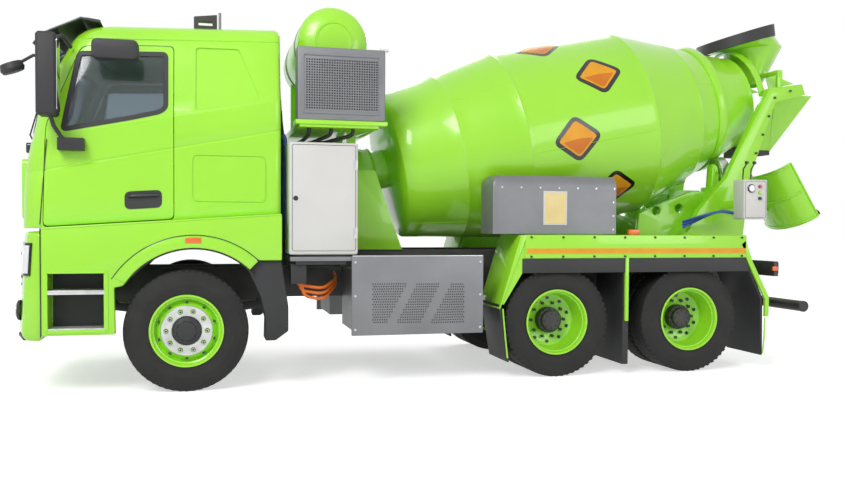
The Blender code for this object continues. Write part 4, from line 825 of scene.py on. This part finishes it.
STEER_AT = JOINTS["steer_left"]["pos_m"]
for side, s in SIDES:
    out = s * BODY_HW
    edge = [(-1.1447, sill(-1.1447) - 0.004), (-1.1447, 0.51), (-0.57, 0.51), (-0.58, 0.90)]
    edge += arc(ARCH_X, ARCH_Z, ARCH_R, 148, 56.7, 28) + [(0.80, 1.12), (0.80, sill(0.80) - 0.004)]
    panel = bevelled(prism(edge, out, s * PANEL_IN), 0.012, 3)
    sweep = [(0, 0.90), (0.658, 0.90), (0.658, 0.30), (0, 0.30)]
    panel = carved(panel, turned(sweep, (STEER_AT[0], s * abs(STEER_AT[1]), 0), (0, 0, 1), 72))
    panel = carved(panel, box(-1.095, -0.66, s * 1.35, s * WELL_IN, 0.56, 0.85),
            box(-1.095, -0.66, s * 1.35, s * WELL_IN, 0.88, 1.02))
    ob = link("lower_panel_skin_" + side, panel, LIME)
    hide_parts("lower_panel_" + side)
    flare = arc(ARCH_X, ARCH_Z, ARCH_R, 146, 46, 28) + arc(ARCH_X, ARCH_Z, ARCH_R + 0.10, 46, 146, 28)
    link("arch_flare_" + side, bevelled(prism(flare, s * 1.262, s * 1.235), 0.006), LIME)
    groove = [(sx(x), s * 1.2505, z) for x, z in arc(ARCH_X, ARCH_Z, ARCH_R + 0.108, 148, 44, 32)]
    link("arch_groove_" + side, tube(groove, 0.004, sides=1), BLACK)
    rim = rounded([(-1.12, 0.53), (-0.625, 0.53), (-0.625, 1.05), (-1.12, 1.05)], 0.03)
    link("step_frame_" + side, bevelled(rim_of(rim, 0.028, s * 1.258, s * 1.24), 0.004), LIME)
    for level, z in (("upper", 0.865), ("lower", 0.552)):
        tread = box(-1.10, -0.645, s * 1.245, s * 1.03, z - 0.015, z + 0.015, 0.004)
        link("step_%s_%s" % (level, side), tread, CHECKER)
        nubs = [(sx(-1.07 + 0.035 * i + (0.0175 if j % 2 else 0.0)), s * (1.225 - 0.03 * j), z + 0.016)
                for i in range(12) for j in range(6)]
        heads("step_nubs_%s_%s" % (level, side), nubs, (0, 0, 1), 0.008, 0.004, SILVER, sides=5)
        link("step_nose_%s_%s" % (level, side), box(-1.10, -0.645, s * 1.256, s * 1.243, z - 0.018, z + 0.018,
                0.003), SILVER)
    liner = arc(ARCH_X, ARCH_Z, ARCH_R - 0.014, 40, 140, 24) + arc(ARCH_X, ARCH_Z, ARCH_R - 0.002, 140, 40, 24)
    link("arch_liner_" + side, prism(liner, s * 1.236, s * 0.46), PLASTIC)
    link("step_back_" + side, box(-1.09, -0.665, s * 1.004, s * 1.0, 0.56, 1.02), PLASTIC)
    link("arch_marker_" + side, box(-0.01, 0.12, s * 1.272, s * 1.255, 1.272, 1.318, 0.006), AMBER)
    link("panel_trim_" + side, tube([(sx(x), s * 1.246, sill(x) - 0.012) for x in (-1.135, 0.79)], 0.010), LIME)

# %% [markdown]
# ## Bumper and front face
# The bumper wraps round the corner as a column that holds the headlamp and the fog lamp. The front panel above it
# is flat with a dark grille. The plate is blank.

# %% Lamps, grille, plate, wipers and seams
for side, s in SIDES:
    for name, look, out, low, high, thick in (("bezel", BLACK, 0.004, 1.00, 1.27, 0.016),
            ("lens", LAMP, 0.013, 1.02, 1.25, 0.010)):
        turn = [(-1.358, 0.66 + out), (-1.354, 0.80), (-1.314, 0.97), (-1.274, 1.14), (-1.22 - out, 1.172)]
        rows = [[(sx(x - out + 0.06 * (z - 1.13)), s * (y + (out if x > -1.30 else 0.0)), z) for x, y in turn]
                for z in (low, (low + high) / 2, high)]
        link("headlamp_%s_%s" % (name, side), bevelled(grid(rows, thick=thick), 0.003), look)
    link("fog_lamp_" + side, turned([(0, 0.035), (0.050, 0.035), (0.062, 0.028), (0.066, 0.0), (0, 0)],
                                    (sx(-1.358), s * 0.93, 0.70), (-1, 0, 0), 32), LAMP)
    link("fog_ring_" + side, turned([(0.064, 0.0), (0.066, 0.020), (0.082, 0.020), (0.088, 0.0)],
                                    (sx(-1.354), s * 0.93, 0.70), (-1, 0, 0), 32), PLASTIC)
    link("bumper_seam_" + side, box(-1.150, -1.142, s * 1.252, s * 1.15, 0.50, 1.39), BLACK)
    link("corner_seam_" + side, tube([(sx(-1.16 + 0.006 * k), s * (1.171 - 0.0002 * k),
            1.42 + 0.078 * k) for k in range(10)], 0.004, sides=1), BLACK)
    for k in range(2):
        foot = Vector((sx(-1.302), s * (0.20 + 0.45 * k), 2.16))
        tip = Vector((sx(-1.19), s * (0.62 + 0.30 * k - 0.35), 2.62))
        link("wiper_%s_%d" % (side, k), tube([foot, foot + Vector((-0.02, 0, 0.04)),
                tip + Vector((-0.03, 0, 0))], 0.007), PLASTIC)
grille = rounded([(-0.70, 0.86), (0.70, 0.86), (0.70, 1.22), (-0.70, 1.22)], 0.05)
link("grille_back", prism(grille, -1.386, -1.36, "yz"), BLACK)
for k in range(5):
    link("grille_bar_%d" % k, box(-1.398, -1.37, -0.68, 0.68, 0.89 + 0.066 * k, 0.918 + 0.066 * k, 0.006),
            PLASTIC)
low = rounded([(-0.62, 0.56), (0.62, 0.56), (0.62, 0.76), (-0.62, 0.76)], 0.04)
link("lower_intake", prism(low, -1.413, -1.37, "yz"), BLACK)
link("plate_blank", box(-1.422, -1.405, -0.26, 0.26, 0.60, 0.71, 0.003), PALE)
lip = [(-1.40, 0.78), (-1.31, 1.10), (-1.16, 1.17), (-1.16, -1.17), (-1.31, -1.10), (-1.40, -0.78)]
link("bumper_lip", bevelled(prism(lip, 0.462, 0.50, "xy"), 0.012), PLASTIC)
link("cab_front_panel", bevelled(prism(rounded([(-0.86, 1.47), (0.86, 1.47), (0.86, 1.98), (-0.86, 1.98)],
        0.05), -1.352, -1.28, "yz"), 0.008), LIME)
link("cab_front_band", bevelled(prism(rounded([(-0.84, 2.03), (0.84, 2.03), (0.84, 2.12), (-0.84, 2.12)], 0.03),
                                      -1.322, -1.25, "yz"), 0.006), BLACK)

# %% Door handles, roof brackets, kerb mirror and mirror glass
for side, s in SIDES:
    body = "door_" + side
    grip = rounded([(-0.50, 1.55), (-0.20, 1.57), (-0.20, 1.72), (-0.50, 1.70)], 0.05)
    link("handle_dish_" + side, carved(carved(prism(grip, s * 1.3, s * 1.0), cab_form(-0.004), how="INTERSECT"),
                                       cab_form(0.010)), PLASTIC, body)
    link("handle_" + side, tube([(sx(-0.47), s * 1.176, 1.66), (sx(-0.44), s * 1.192, 1.665),
            (sx(-0.26), s * 1.192, 1.675), (sx(-0.23), s * 1.176, 1.675)], 0.013, bend=0.02), BLACK, body)
    glass = rounded([(s * 1.255, 2.33), (s * 1.41, 2.33), (s * 1.41, 2.91), (s * 1.255, 2.91)], 0.03)
    link("mirror_glass_" + side, prism(glass, -0.9895, -0.986, "yz"), MIRROR, body)
    link("grab_bar_" + side, tube([(sx(-0.96), s * 1.09, 2.27), (sx(-0.93), s * 1.05, 2.33),
            (sx(-0.86), s * 1.02, 2.78), (sx(-0.86), s * 1.06, 2.84)], 0.014, bend=0.05), BLACK, body)
    plate = rounded([(0.06, 3.14), (0.26, 3.14), (0.26, 3.29), (0.06, 3.265)], 0.01)
    slot = [(0.10, 3.19), (0.22, 3.19), (0.22, 3.235), (0.10, 3.225)]
    link("roof_bracket_" + side, carved(prism(plate, s * 0.86, s * 0.845), prism(slot, s * 0.9, s * 0.8)),
            STEEL_DARK)
    link("roof_post_" + side, tube([(sx(0.285), s * 0.85, 3.12), (sx(0.285), s * 0.85, 3.31)], 0.012), ZINC)
    link("roof_cross_" + side, box(0.07, 0.25, s * 0.85, s * 0.70, 3.245, 3.262, 0.004), STEEL_DARK)
kerb = rounded([(-0.73, 2.76), (-0.37, 2.76), (-0.37, 2.92), (-0.73, 2.92)], 0.05)
link("kerb_mirror", bevelled(prism(kerb, -1.42, -1.26), 0.02), PLASTIC, "door_left")
link("kerb_mirror_arm", tube([(sx(-0.55), -1.30, 2.90), (sx(-0.55), -1.20, 2.955), (sx(-0.55), -1.05, 2.94)],
        0.014, bend=0.05), PLASTIC, "door_left")
for side, s in SIDES:
    link("mirror_arm_upper_" + side, tube([(sx(-1.03), s * 1.30, 2.90), (sx(-0.98), s * 1.22, 2.97),
            (sx(-0.93), s * 1.06, 2.90)], 0.016, bend=0.05), PLASTIC, "door_" + side)

# %% Seats with real cushions
for side, s in SIDES:
    y = s * 0.56
    cushion = rounded([(-0.20, 1.80), (0.34, 1.83), (0.34, 1.95), (-0.20, 1.96)], 0.05)
    back = rounded([(0.28, 1.93), (0.42, 1.93), (0.60, 2.62), (0.48, 2.66)], 0.05)
    head = rounded([(0.49, 2.68), (0.60, 2.68), (0.64, 2.86), (0.55, 2.88)], 0.04)
    cushions = []
    for outline, hw in ((cushion, 0.25), (back, 0.24), (head, 0.13)):
        block = baked(prism(outline, y - hw, y + hw), ("REMESH", dict(mode="VOXEL", voxel_size=0.02)),
                      ("SMOOTH", dict(factor=0.5, iterations=10)), angle=60)
        cushions.append(block)
    ob = link("seat_cushions_" + side, merged(*cushions), CLOTH)
    if side == "left":
        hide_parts("seats")
    link("seat_base_" + side, box(-0.16, 0.30, y - 0.20, y + 0.20, 1.61, 1.82, 0.02), PLASTIC)
    link("seat_posts_" + side, merged(*(tube([(sx(0.52), y + d, 2.58), (sx(0.57), y + d, 2.74)],
            0.008) for d in (-0.06, 0.06))), SILVER)

# %% [markdown]
# ## Behind the cab
# White cabinets, a perforated side panel over the batteries, the cooler with its fan grille and the water tank
# stand close together, with hoses and cables between them. The perforations are dark heads set in rows.

# %% Side panels with slanted fields of holes
FIELDS = (((1.597, 0.905), (1.912, 0.905), (1.732, 0.563), (1.597, 0.563)),
          ((2.000, 0.900), (2.220, 0.900), (2.043, 0.558), (1.819, 0.558)),
          ((2.324, 0.896), (2.450, 0.896), (2.450, 0.550), (2.132, 0.550)))
SKIRT_X0, SKIRT_X1, FIELD_PITCH = 1.413, 2.633, 0.022
for side, s in SIDES:
    holes = []
    for (x0, z1), (x1, _), (x2, z0), (x3, _) in FIELDS:
        rows = int((z1 - z0) / FIELD_PITCH)
        for r in range(rows + 1):
            t = r / rows
            left, right = x0 + (x3 - x0) * t, x1 + (x2 - x1) * t
            count = int((right - left) / FIELD_PITCH)
            holes += [(sx(left + (right - left) * (k + 0.25 + 0.5 * (r % 2)) / (count + 1)), s * 1.2505,
                    z1 + (z0 - z1) * t) for k in range(count + 1)]
    heads("skirt_holes_" + side, holes, (0, s, 0), 0.0068, 0.002, BLACK, sides=6)
    rivets = [(sx(x), s * 1.2515, z) for x in (SKIRT_X0 + 0.03, SKIRT_X1 - 0.03) for z in (0.50, 0.80, 1.10)]
    heads("skirt_rivets_" + side, rivets, (0, s, 0), 0.011, 0.008, SILVER, sides=12)
    link("skirt_fold_" + side, box(SKIRT_X0 + 0.005, SKIRT_X1 - 0.005, s * 1.2505, s * 1.225, 1.150, 1.160,
            0.003), SILVER)
    # cabinet: door seam, lock, hinges
    face = rounded([(0.885, 1.20), (1.445, 1.20), (1.445, 2.13), (0.885, 2.13)], 0.02)
    link("cabinet_seam_" + side, rim_of(face, 0.004, s * 1.2515, s * 1.245), STEEL_DARK)
    link("cabinet_lock_" + side, turned([(0, 0.008), (0.018, 0.008), (0.022, 0.0), (0, 0)],
            (sx(0.917), s * BODY_HW, 1.661), (0, s, 0), 24), BLACK)
    for k, z in enumerate((1.36, 1.96)):
        link("cabinet_hinge_%s_%d" % (side, k), box(1.425, 1.46, s * 1.258, s * 1.248, z - 0.05, z + 0.05,
                0.003), SILVER)
    link("cabinet_bar_" + side, box(0.87, 1.44, s * 1.24, s * 1.19, 1.112, 1.150, 0.004), ZINC)
    link("terminal_box_" + side, box(0.88, 1.02, s * 1.19, s * 1.06, 0.91, 1.09, 0.008), PLASTIC)
    for k in range(3):
        z = 0.90 - 0.05 * k
        path = [(sx(0.95 + 0.02 * k), s * 1.12, 0.95), (sx(0.95 + 0.02 * k), s * 1.12, z),
                (sx(1.18), s * 1.10, z - 0.04), (sx(1.32), s * 0.9, 0.94 - 0.03 * k),
                (sx(1.36), s * 0.50, 0.97)]
        link("power_cable_%s_%d" % (side, k), tube(path, 0.014, bend=0.08), CABLE)

# %% Cooler, tank and service lines
TANK = (sx(1.31), 0, 3.13)
TANK_R, HOLE_PITCH = 0.325, 0.0225
grid_field = [(sx(1.03 + HOLE_PITCH * i), -1.1008, 2.47 + HOLE_PITCH * k) for i in range(29) for k in range(20)]
heads("cooler_holes", grid_field, (0, -1, 0), 0.0082, 0.002, BLACK, sides=6)
heads("cooler_holes_inner", [(x, -0.9095, z) for x, y, z in grid_field[::2]], (0, 1, 0), 0.010, 0.002, BLACK,
        sides=6)
rim = rounded([(0.985, 2.42), (1.70, 2.42), (1.70, 2.955), (0.985, 2.955)], 0.03)
link("cooler_frame", bevelled(rim_of(rim, 0.02, -1.108, -1.098), 0.002), ZINC)
link("cooler_band", box(0.93, 1.76, -1.104, -0.90, 2.325, 2.365, 0.006), LIME)
link("cooler_lamp", box(1.70, 1.78, -1.08, -1.02, 3.005, 3.035, 0.006), LAMP)
for s in (-1, 1):
    link("tank_cap_ring_%d" % s, turned([(0.150, 0.835), (0.156, 0.856), (0.172, 0.856), (0.180, 0.832)], TANK,
                                        (0, s, 0), 48), LIME)
    link("tank_strap_%d" % s, turned([(0.326, -0.025), (0.330, -0.022), (0.330, 0.022), (0.326, 0.025)],
                                     (sx(1.31), s * 0.45, 3.13), (0, 1, 0), 64), ZINC)
    link("tank_filler_%d" % s, turned([(0, 0.36), (0.045, 0.36), (0.05, 0.35), (0.05, 0.28), (0, 0.28)],
                                      (sx(1.31), s * 0.20, 3.13), (0, 0, 1), 32), BLACK)
tank = turned([(0, 0.86), (0.10, 0.857), (0.19, 0.845), (0.265, 0.815), (0.305, 0.785), (0.321, 0.755),
        (TANK_R, 0.73), (TANK_R, -0.73), (0.321, -0.755), (0.305, -0.785), (0.265, -0.815), (0.19, -0.845),
        (0.10, -0.857), (0, -0.86)], TANK, (0, 1, 0), 72)
ob = link("water_tank_skin", tank, LIME)
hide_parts("water_tank")
for k in range(6):
    x = 0.835 + 0.006 * (k % 2)
    y = -0.30 - 0.11 * k
    link("service_line_%d" % k, tube([(sx(x), y, 2.85 - 0.12 * k), (sx(x + 0.02), y, 2.2),
            (sx(x + 0.01), y + 0.02, 1.6), (sx(x + 0.06), y + 0.10, 1.15)], 0.012 + 0.004 * (k % 3), bend=0.1),
            (BLACK, PLASTIC, BLUE)[k % 3] if k != 2 else BLACK)
for k in range(3):
    link("cooler_hose_%d" % k, tube([(sx(1.05 + 0.2 * k), -0.99, 2.36), (sx(1.07 + 0.2 * k), -0.99, 2.25),
            (sx(1.00 + 0.1 * k), -0.86, 2.18), (sx(0.88), -0.70, 2.15)], 0.018, bend=0.06), PLASTIC)

# %% [markdown]
# ## Rear fenders
# A green box rail with an orange stripe carries a zinc guard above the wheels and a black mudguard below. The
# guard is one sheet that wraps round the front corner, with its top edge bent in.

# %% Rails, stripes, guards and brackets
RAIL = (3.042, 5.392, 1.125, 1.348)
MID_X = WHEELBASE + BOGIE / 2
for side, s in SIDES:
    x0, x1, z0, z1 = RAIL
    ob = link("fender_beam_" + side, box(x0, x1, s * BODY_HW, s * 1.19, z0, z1, 0.010), LIME)
    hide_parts("fender_rail_" + side)
    link("rail_stripe_" + side, box(x0 + 0.012, x1 - 0.012, s * 1.2515, s * 1.2485, 1.17, 1.22, 0.0), ORANGE)
    bolts = [(sx(x0 + 0.06 + 0.319 * i), s * 1.252, z) for i in range(8) for z in (1.143, 1.325)]
    heads("rail_bolts_" + side, bolts, (0, s, 0), 0.012, 0.010, STEEL_DARK)
    corner = [(2.741, s * 0.85), (2.741, s * 1.0), (2.741, s * 1.16), (2.747, s * 1.18), (2.765, s * 1.189),
            (2.80, s * 1.190), (3.2, s * 1.190), (3.6, s * 1.190), (3.99, s * 1.190)]
    rows = []
    for z, shift in ((1.355, 0.0), (1.60, 0.0), (1.80, 0.0), (1.835, 0.004), (1.858, 0.016), (1.875, 0.034),
            (1.905, 0.070)):
        rows.append([(sx(x + (shift if k < 5 else 0.0)), y - s * (shift if k > 1 else 0.0), z) for k,
                (x, y) in enumerate(corner)])
    link("wheel_guard_" + side, grid(rows, thick=0.004), ZINC)
    rivets = [(sx(2.83 + 0.19 * i), s * 1.1935, 1.79) for i in range(7)] + [(sx(3.96), s * 1.1935,
            1.40 + 0.13 * i) for i in range(3)]
    heads("guard_rivets_" + side, rivets, (0, s, 0), 0.009, 0.006, SILVER, sides=10)
    link("notice_frame_" + side, box(3.24, 3.48, s * 1.199, s * 1.190, 1.44, 1.76, 0.002), PALE)
    link("notice_plate_" + side, box(3.255, 3.465, s * 1.2005, s * 1.195, 1.455, 1.745, 0.0), CREAM)
    slope = prism([(3.06, 1.345), (2.80, 0.66), (2.79, 0.66), (3.00, 1.345)], s * BODY_HW, s * 0.66)
    link("front_bracket_" + side, bevelled(slope, 0.003), LIME)
    for k, y in enumerate((1.235, 1.10)):
        rib = prism([(3.055, 1.345), (2.81, 0.70), (2.84, 0.70), (3.10, 1.12)], s * y, s * (y - 0.012))
        link("bracket_rib_%s_%d" % (side, k), rib, LIME)
    link("middle_strut_" + side, box(MID_X - 0.018, MID_X + 0.018, s * BODY_HW, s * 1.22, 0.52, 1.14, 0.004),
            LIME)
    bar = [(5.33, 1.26), (5.385, 1.30), (5.46, 1.09), (5.655, 0.73), (5.655, 0.53), (5.61, 0.53), (5.61, 0.71),
            (5.41, 1.08)]
    link("rear_bracket_" + side, bevelled(prism(bar, s * BODY_HW, s * 1.22), 0.004), LIME)
    link("rail_marker_" + side, box(4.12, 4.24, s * 1.21, s * 1.17, 1.348, 1.40, 0.008), AMBER)
    rod_y = s * 1.235
    for name, points in (("front", [(2.83, 0.66), (2.86, 0.36), (2.88, 0.20)]),
            ("rear", [(5.62, 0.52), (5.615, 0.30), (5.60, 0.16)])):
        link("flap_rod_%s_%s" % (name, side), tube([(sx(x), rod_y, z) for x, z in points], 0.008, bend=0.05),
                LIME)
    flap = prism([(2.79, 0.70), (2.815, 0.70), (2.90, 0.16), (2.88, 0.16)], s * 1.225, s * 0.70)
    link("front_flap_" + side, bevelled(flap, 0.003), PLASTIC)

# %% Rear end: lamps, caps and blank plate
for side, s in SIDES:
    link("rear_lamp_case_" + side, box(5.835, 5.875, s * 0.62, s * 1.10, 0.955, 1.065, 0.008), BLACK)
    for k, (look, y) in enumerate(((RED, 1.02), (AMBER, 0.90), (RED, 0.78), (LAMP, 0.68))):
        link("rear_lamp_%s_%d" % (side, k), turned([(0, 0.012), (0.036, 0.012), (0.042, 0.0), (0, 0)],
                (sx(5.875), s * y, 1.01), (1, 0, 0), 24), look)
    link("beam_end_lamp_" + side, box(5.76, 5.82, s * 1.162, s * 1.14, 0.985, 1.03, 0.006), AMBER)
    link("underrun_cap_" + side, turned([(0, 0.010), (0.048, 0.010), (0.057, 0.002), (0.057, -0.03),
            (0, -0.03)], (sx(6.14), s * 1.15, 0.615), (0, s, 0), 32), PLASTIC)
link("rear_plate_blank", box(5.832, 5.842, -0.26, 0.26, 0.95, 1.06, 0.003), PALE)

# %% [markdown]
# ## Hopper, discharge and chute
# Concrete goes in at the hopper, whose lip is thick black rubber, and comes out through a funnel with a black lip
# into the trough. The trough's rims carry an orange liner edge and hooks for an extension.

# %% Collar, lips, liner, hooks and fairing
def tilted_ring(cx, cz, a, b, tilt, steps=48):
    """A level ring of points tipped about the cross axis."""
    ring = []
    for i in range(steps):
        t = 2 * math.pi * i / steps
        ring.append((sx(cx + a * math.cos(t) * math.cos(tilt)), b * math.sin(t),
                cz + a * math.cos(t) * math.sin(tilt)))
    return ring


collar = [tilted_ring(6.060, 3.612, 0.400, 0.440, 0.30), tilted_ring(6.058, 3.622, 0.418, 0.458, 0.30),
          tilted_ring(6.060, 3.495, 0.430, 0.470, 0.28), tilted_ring(6.062, 3.490, 0.416, 0.456, 0.28)]
link("hopper_collar", grid(collar + [collar[0]], closed=True, angle=40), PLASTIC)
lip = [(6.118, -0.292), (6.342, -0.292), (6.342, 0.292), (6.118, 0.292)]
lip_mesh = carved(prism(rounded(lip, 0.03), 2.245, 2.36, "xy"), prism(rounded(grown(lip, -0.02), 0.03), 2.2,
        2.4, "xy"))
link("discharge_lip", lip_mesh, PLASTIC)
CHUTE_TILT = math.radians(57.6)
CHUTE_L, CHUTE_HW, CHUTE_DEEP, CHUTE_WALL = 0.715, 0.405, 0.282, 0.012
LOW = Vector((sx(6.90), 0, 1.554))
ALONG = Vector((-math.cos(CHUTE_TILT), 0, math.sin(CHUTE_TILT)))
DEEP = Vector((-math.sin(CHUTE_TILT), 0, -math.cos(CHUTE_TILT)))


def in_chute(t, angle, shrink=0.0):
    """A point on the trough: t along it from its low end, the angle round it from rim to rim."""
    across = (CHUTE_HW - shrink) * math.cos(angle)
    down = (CHUTE_DEEP - shrink) * math.sin(angle)
    return LOW + ALONG * t + Vector((0, 1, 0)) * across + DEEP * down


rows = [[in_chute(t, math.pi * i / 36) for i in range(37)] + [in_chute(t, math.pi * i / 36,
        CHUTE_WALL) for i in range(36, -1, -1)] for t in (0.0, 0.24, 0.48, CHUTE_L)]
n = len(rows[0])
verts = [p for row in rows for p in row]
faces = [[k * n + i, k * n + (i + 1) % n, (k + 1) * n + (i + 1) % n,
        (k + 1) * n + i] for k in range(3) for i in range(n)]
for base in (0, 3 * n):
    faces += [[base + i, base + i + 1, base + n - 2 - i, base + n - 1 - i] for i in range(36)]
ob = link("chute_trough", raw(verts, faces), LIME, "chute")
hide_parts("chute")
pivot = JOINTS["chute_swivel"]["pos_m"]
link("chute_sleeve", turned([(0.046, 1.5805), (0.046, 1.78), (0.07, 1.78), (0.07, 1.5805)], (pivot[0], 0, 0),
        (0, 0, 1), 40), LIME, "chute")
mid = LOW + ALONG * (CHUTE_L * 0.62) + DEEP * 0.278
link("chute_strut", bevelled(prism([(6.08, 1.60), (mid.x - AXLE_X + 0.09, mid.z - 0.17),
        (mid.x - AXLE_X, mid.z), (6.08, 1.76)], -0.03, 0.03), 0.006), LIME, "chute")
for k, a in enumerate((0.0, math.pi)):
    rim = [in_chute(t, a) + Vector((0, -0.004 if k else 0.004, 0)) for t in (0.01, 0.36, 0.705)]
    link("chute_rim_%d" % k, tube(rim, 0.011), LIME, "chute")
    link("chute_liner_%d" % k, tube([in_chute(t, a, 0.022) for t in (0.02, 0.36, 0.70)], 0.006), ORANGE,
            "chute")
    hook = [in_chute(0.10, a), in_chute(0.04, a) - DEEP * 0.03, in_chute(0.015, a) - DEEP * 0.025]
    link("chute_hook_%d" % k, tube(hook, 0.010, bend=0.02), STEEL_DARK, "chute")
for k, t in enumerate((0.03, 0.36, 0.69)):
    rib = [in_chute(t, math.pi * i / 24, -0.006) for i in range(1, 24)]
    link("chute_rib_%d" % k, tube(rib, 0.009), LIME, "chute")
for side, s in SIDES:
    sheet = prism([(6.22, 3.18), (6.61, 3.05), (6.29, 2.98)], s * 0.318, s * 0.312)
    link("fairing_" + side, sheet, LIME)
    side_bolts = [(sx(x), s * 0.70, z) for x, z in ((5.95, 2.42), (6.02, 2.62), (6.09, 2.82), (6.28, 2.90),
            (5.87, 2.22))]
    heads("stand_bolts_" + side, side_bolts, (0, s, 0), 0.013, 0.020, STEEL_DARK)

# %% Controls and hoses at the rear
link("gauge", turned([(0, 0.016), (0.036, 0.016), (0.042, 0.010), (0.042, 0.0), (0, 0)],
        (sx(5.50), -1.15, 1.82), (0, -1, 0), 32), BLACK)
link("gauge_face", turned([(0, 0.018), (0.032, 0.018), (0.032, 0.010), (0, 0.010)], (sx(5.50), -1.15, 1.82),
        (0, -1, 0), 32), LAMP)
for k, look in enumerate((RED, LIME, BLACK)):
    link("button_%d" % k, turned([(0, 0.020), (0.015, 0.020), (0.018, 0.012), (0.018, 0.0), (0, 0)],
                                 (sx(5.60), -1.15, 1.84 - 0.06 * k), (0, -1, 0), 20), look)
seam_face = rounded([(5.435, 1.525), (5.675, 1.525), (5.675, 1.895), (5.435, 1.895)], 0.015)
link("control_seam", rim_of(seam_face, 0.003, -1.1515, -1.146), STEEL_DARK)
for k in range(2):
    x = 5.47 + 0.09 * k
    link("lever_%d" % k, tube([(sx(x), -1.05, 1.90), (sx(x), -1.06, 2.02), (sx(x + 0.02), -1.08, 2.07)], 0.007),
            STEEL_DARK)
    link("lever_knob_%d" % k, turned([(0, -0.02), (0.018, -0.012), (0.020, 0.0), (0.018, 0.012), (0, 0.02)],
                                     (sx(x + 0.022), -1.082, 2.085), (0, 0, 1), 20), BLACK)
for k in range(3):
    y = -0.80 - 0.05 * k
    path = [(sx(5.00), -0.70, 1.42 + 0.03 * k), (sx(5.16), y, 1.52 + 0.02 * k), (sx(5.34), y - 0.04, 1.60),
            (sx(5.50), -1.00, 1.55), (sx(5.56), -1.02, 1.52)]
    link("blue_hose_%d" % k, tube(path, 0.013, bend=0.1), BLUE)

# %% [markdown]
# ## Room, light and camera
# A pale floor and a pale world give the even light of a studio. A large lamp from the front left, high up, shows
# the creases, and two weaker ones fill the shadows. Rays that only light the truck see a dimmer world and no glow
# from the floor, so the background stays white while the shadow stays soft.
# The camera stands to the left of the truck at standing height and looks a little to its rear.

# %% Camera, lamps and floor
cam = bpy.data.cameras.new("Camera")
cam.lens, cam.sensor_width, cam.clip_end = 36.71, 36.0, 200
camera = bpy.data.objects.new("Camera", cam)
scene.collection.objects.link(camera)
YAW, PITCH, ROLL = 0.248, -0.027, 0.005
ahead = Vector((math.sin(YAW) * math.cos(PITCH), math.cos(YAW) * math.cos(PITCH), math.sin(PITCH)))
right = Vector((math.cos(YAW), -math.sin(YAW), 0))
up = right.cross(ahead)
right, up = math.cos(ROLL) * right + math.sin(ROLL) * up, math.cos(ROLL) * up - math.sin(ROLL) * right
facing = Matrix((right, up, -ahead)).transposed().to_4x4()
camera.matrix_world = Matrix.Translation((sx(0.147), -8.784, 1.427)) @ facing
scene.camera = camera


def lamp(name, at, towards, size, power):
    data = bpy.data.lights.new(name, "AREA")
    data.shape, data.size, data.size_y, data.energy = "RECTANGLE", size[0], size[1], power
    ob = bpy.data.objects.new(name, data)
    scene.collection.objects.link(ob)
    facing = (Vector(towards) - Vector(at)).to_track_quat("-Z", "Y").to_matrix().to_4x4()
    ob.matrix_world = Matrix.Translation(at) @ facing


lamp("key", (-7.0, -9.0, 9.0), (0, -0.5, 1.2), (5, 5), 820)
lamp("fill", (7.0, -10.0, 4.0), (0.5, 0, 1.2), (6, 4), 210)
lamp("back", (3.0, 9.0, 8.0), (0, 0, 1.5), (6, 5), 340)


def seen_directly(tree):
    """One for the rays that look at a surface, straight or by glass or gloss, and zero for the light."""
    path = tree.nodes.new("ShaderNodeLightPath")
    out = path.outputs["Is Camera Ray"]
    for kind in ("Is Glossy Ray", "Is Transmission Ray"):
        most = tree.nodes.new("ShaderNodeMath")
        most.operation = "MAXIMUM"
        joined(tree, (out, most.inputs[0]), (path.outputs[kind], most.inputs[1]))
        out = most.outputs[0]
    return out


WORLD_LIGHT, FLOOR_GLOW, FLOOR_HALF = 0.44, 0.55, 60
world = bpy.data.worlds.new("World")
scene.world = world
world.use_nodes = True
nt = world.node_tree
level = nt.nodes.new("ShaderNodeMapRange")
level.inputs["To Min"].default_value = WORLD_LIGHT
level.inputs["To Max"].default_value = 1.0
joined(nt, (seen_directly(nt), level.inputs["Value"]),
       (level.outputs["Result"], nt.nodes["Background"].inputs["Strength"]))
nt.nodes["Background"].inputs["Color"].default_value = (1, 1, 1, 1)

floor_me = raw([(x * FLOOR_HALF, y * FLOOR_HALF, 0) for x, y in ((-1, -1), (1, -1), (1, 1), (-1, 1))],
        [[0, 1, 2, 3]])
floor_look = finish("studio_floor", (0.90, 0.90, 0.90), (0.92, 0.92, 0.92), 0.9, grain=(3, 0.0))
nt = floor_look.node_tree
glow = nt.nodes.new("ShaderNodeMapRange")
glow.inputs["To Max"].default_value = FLOOR_GLOW
joined(nt, (seen_directly(nt), glow.inputs["Value"]),
       (glow.outputs["Result"], nt.nodes["Principled BSDF"].inputs["Emission Strength"]))
nt.nodes["Principled BSDF"].inputs["Emission Color"].default_value = (1, 1, 1, 1)
floor = link("floor", floor_me, floor_look, None)
scene.view_settings.view_transform = "Standard"
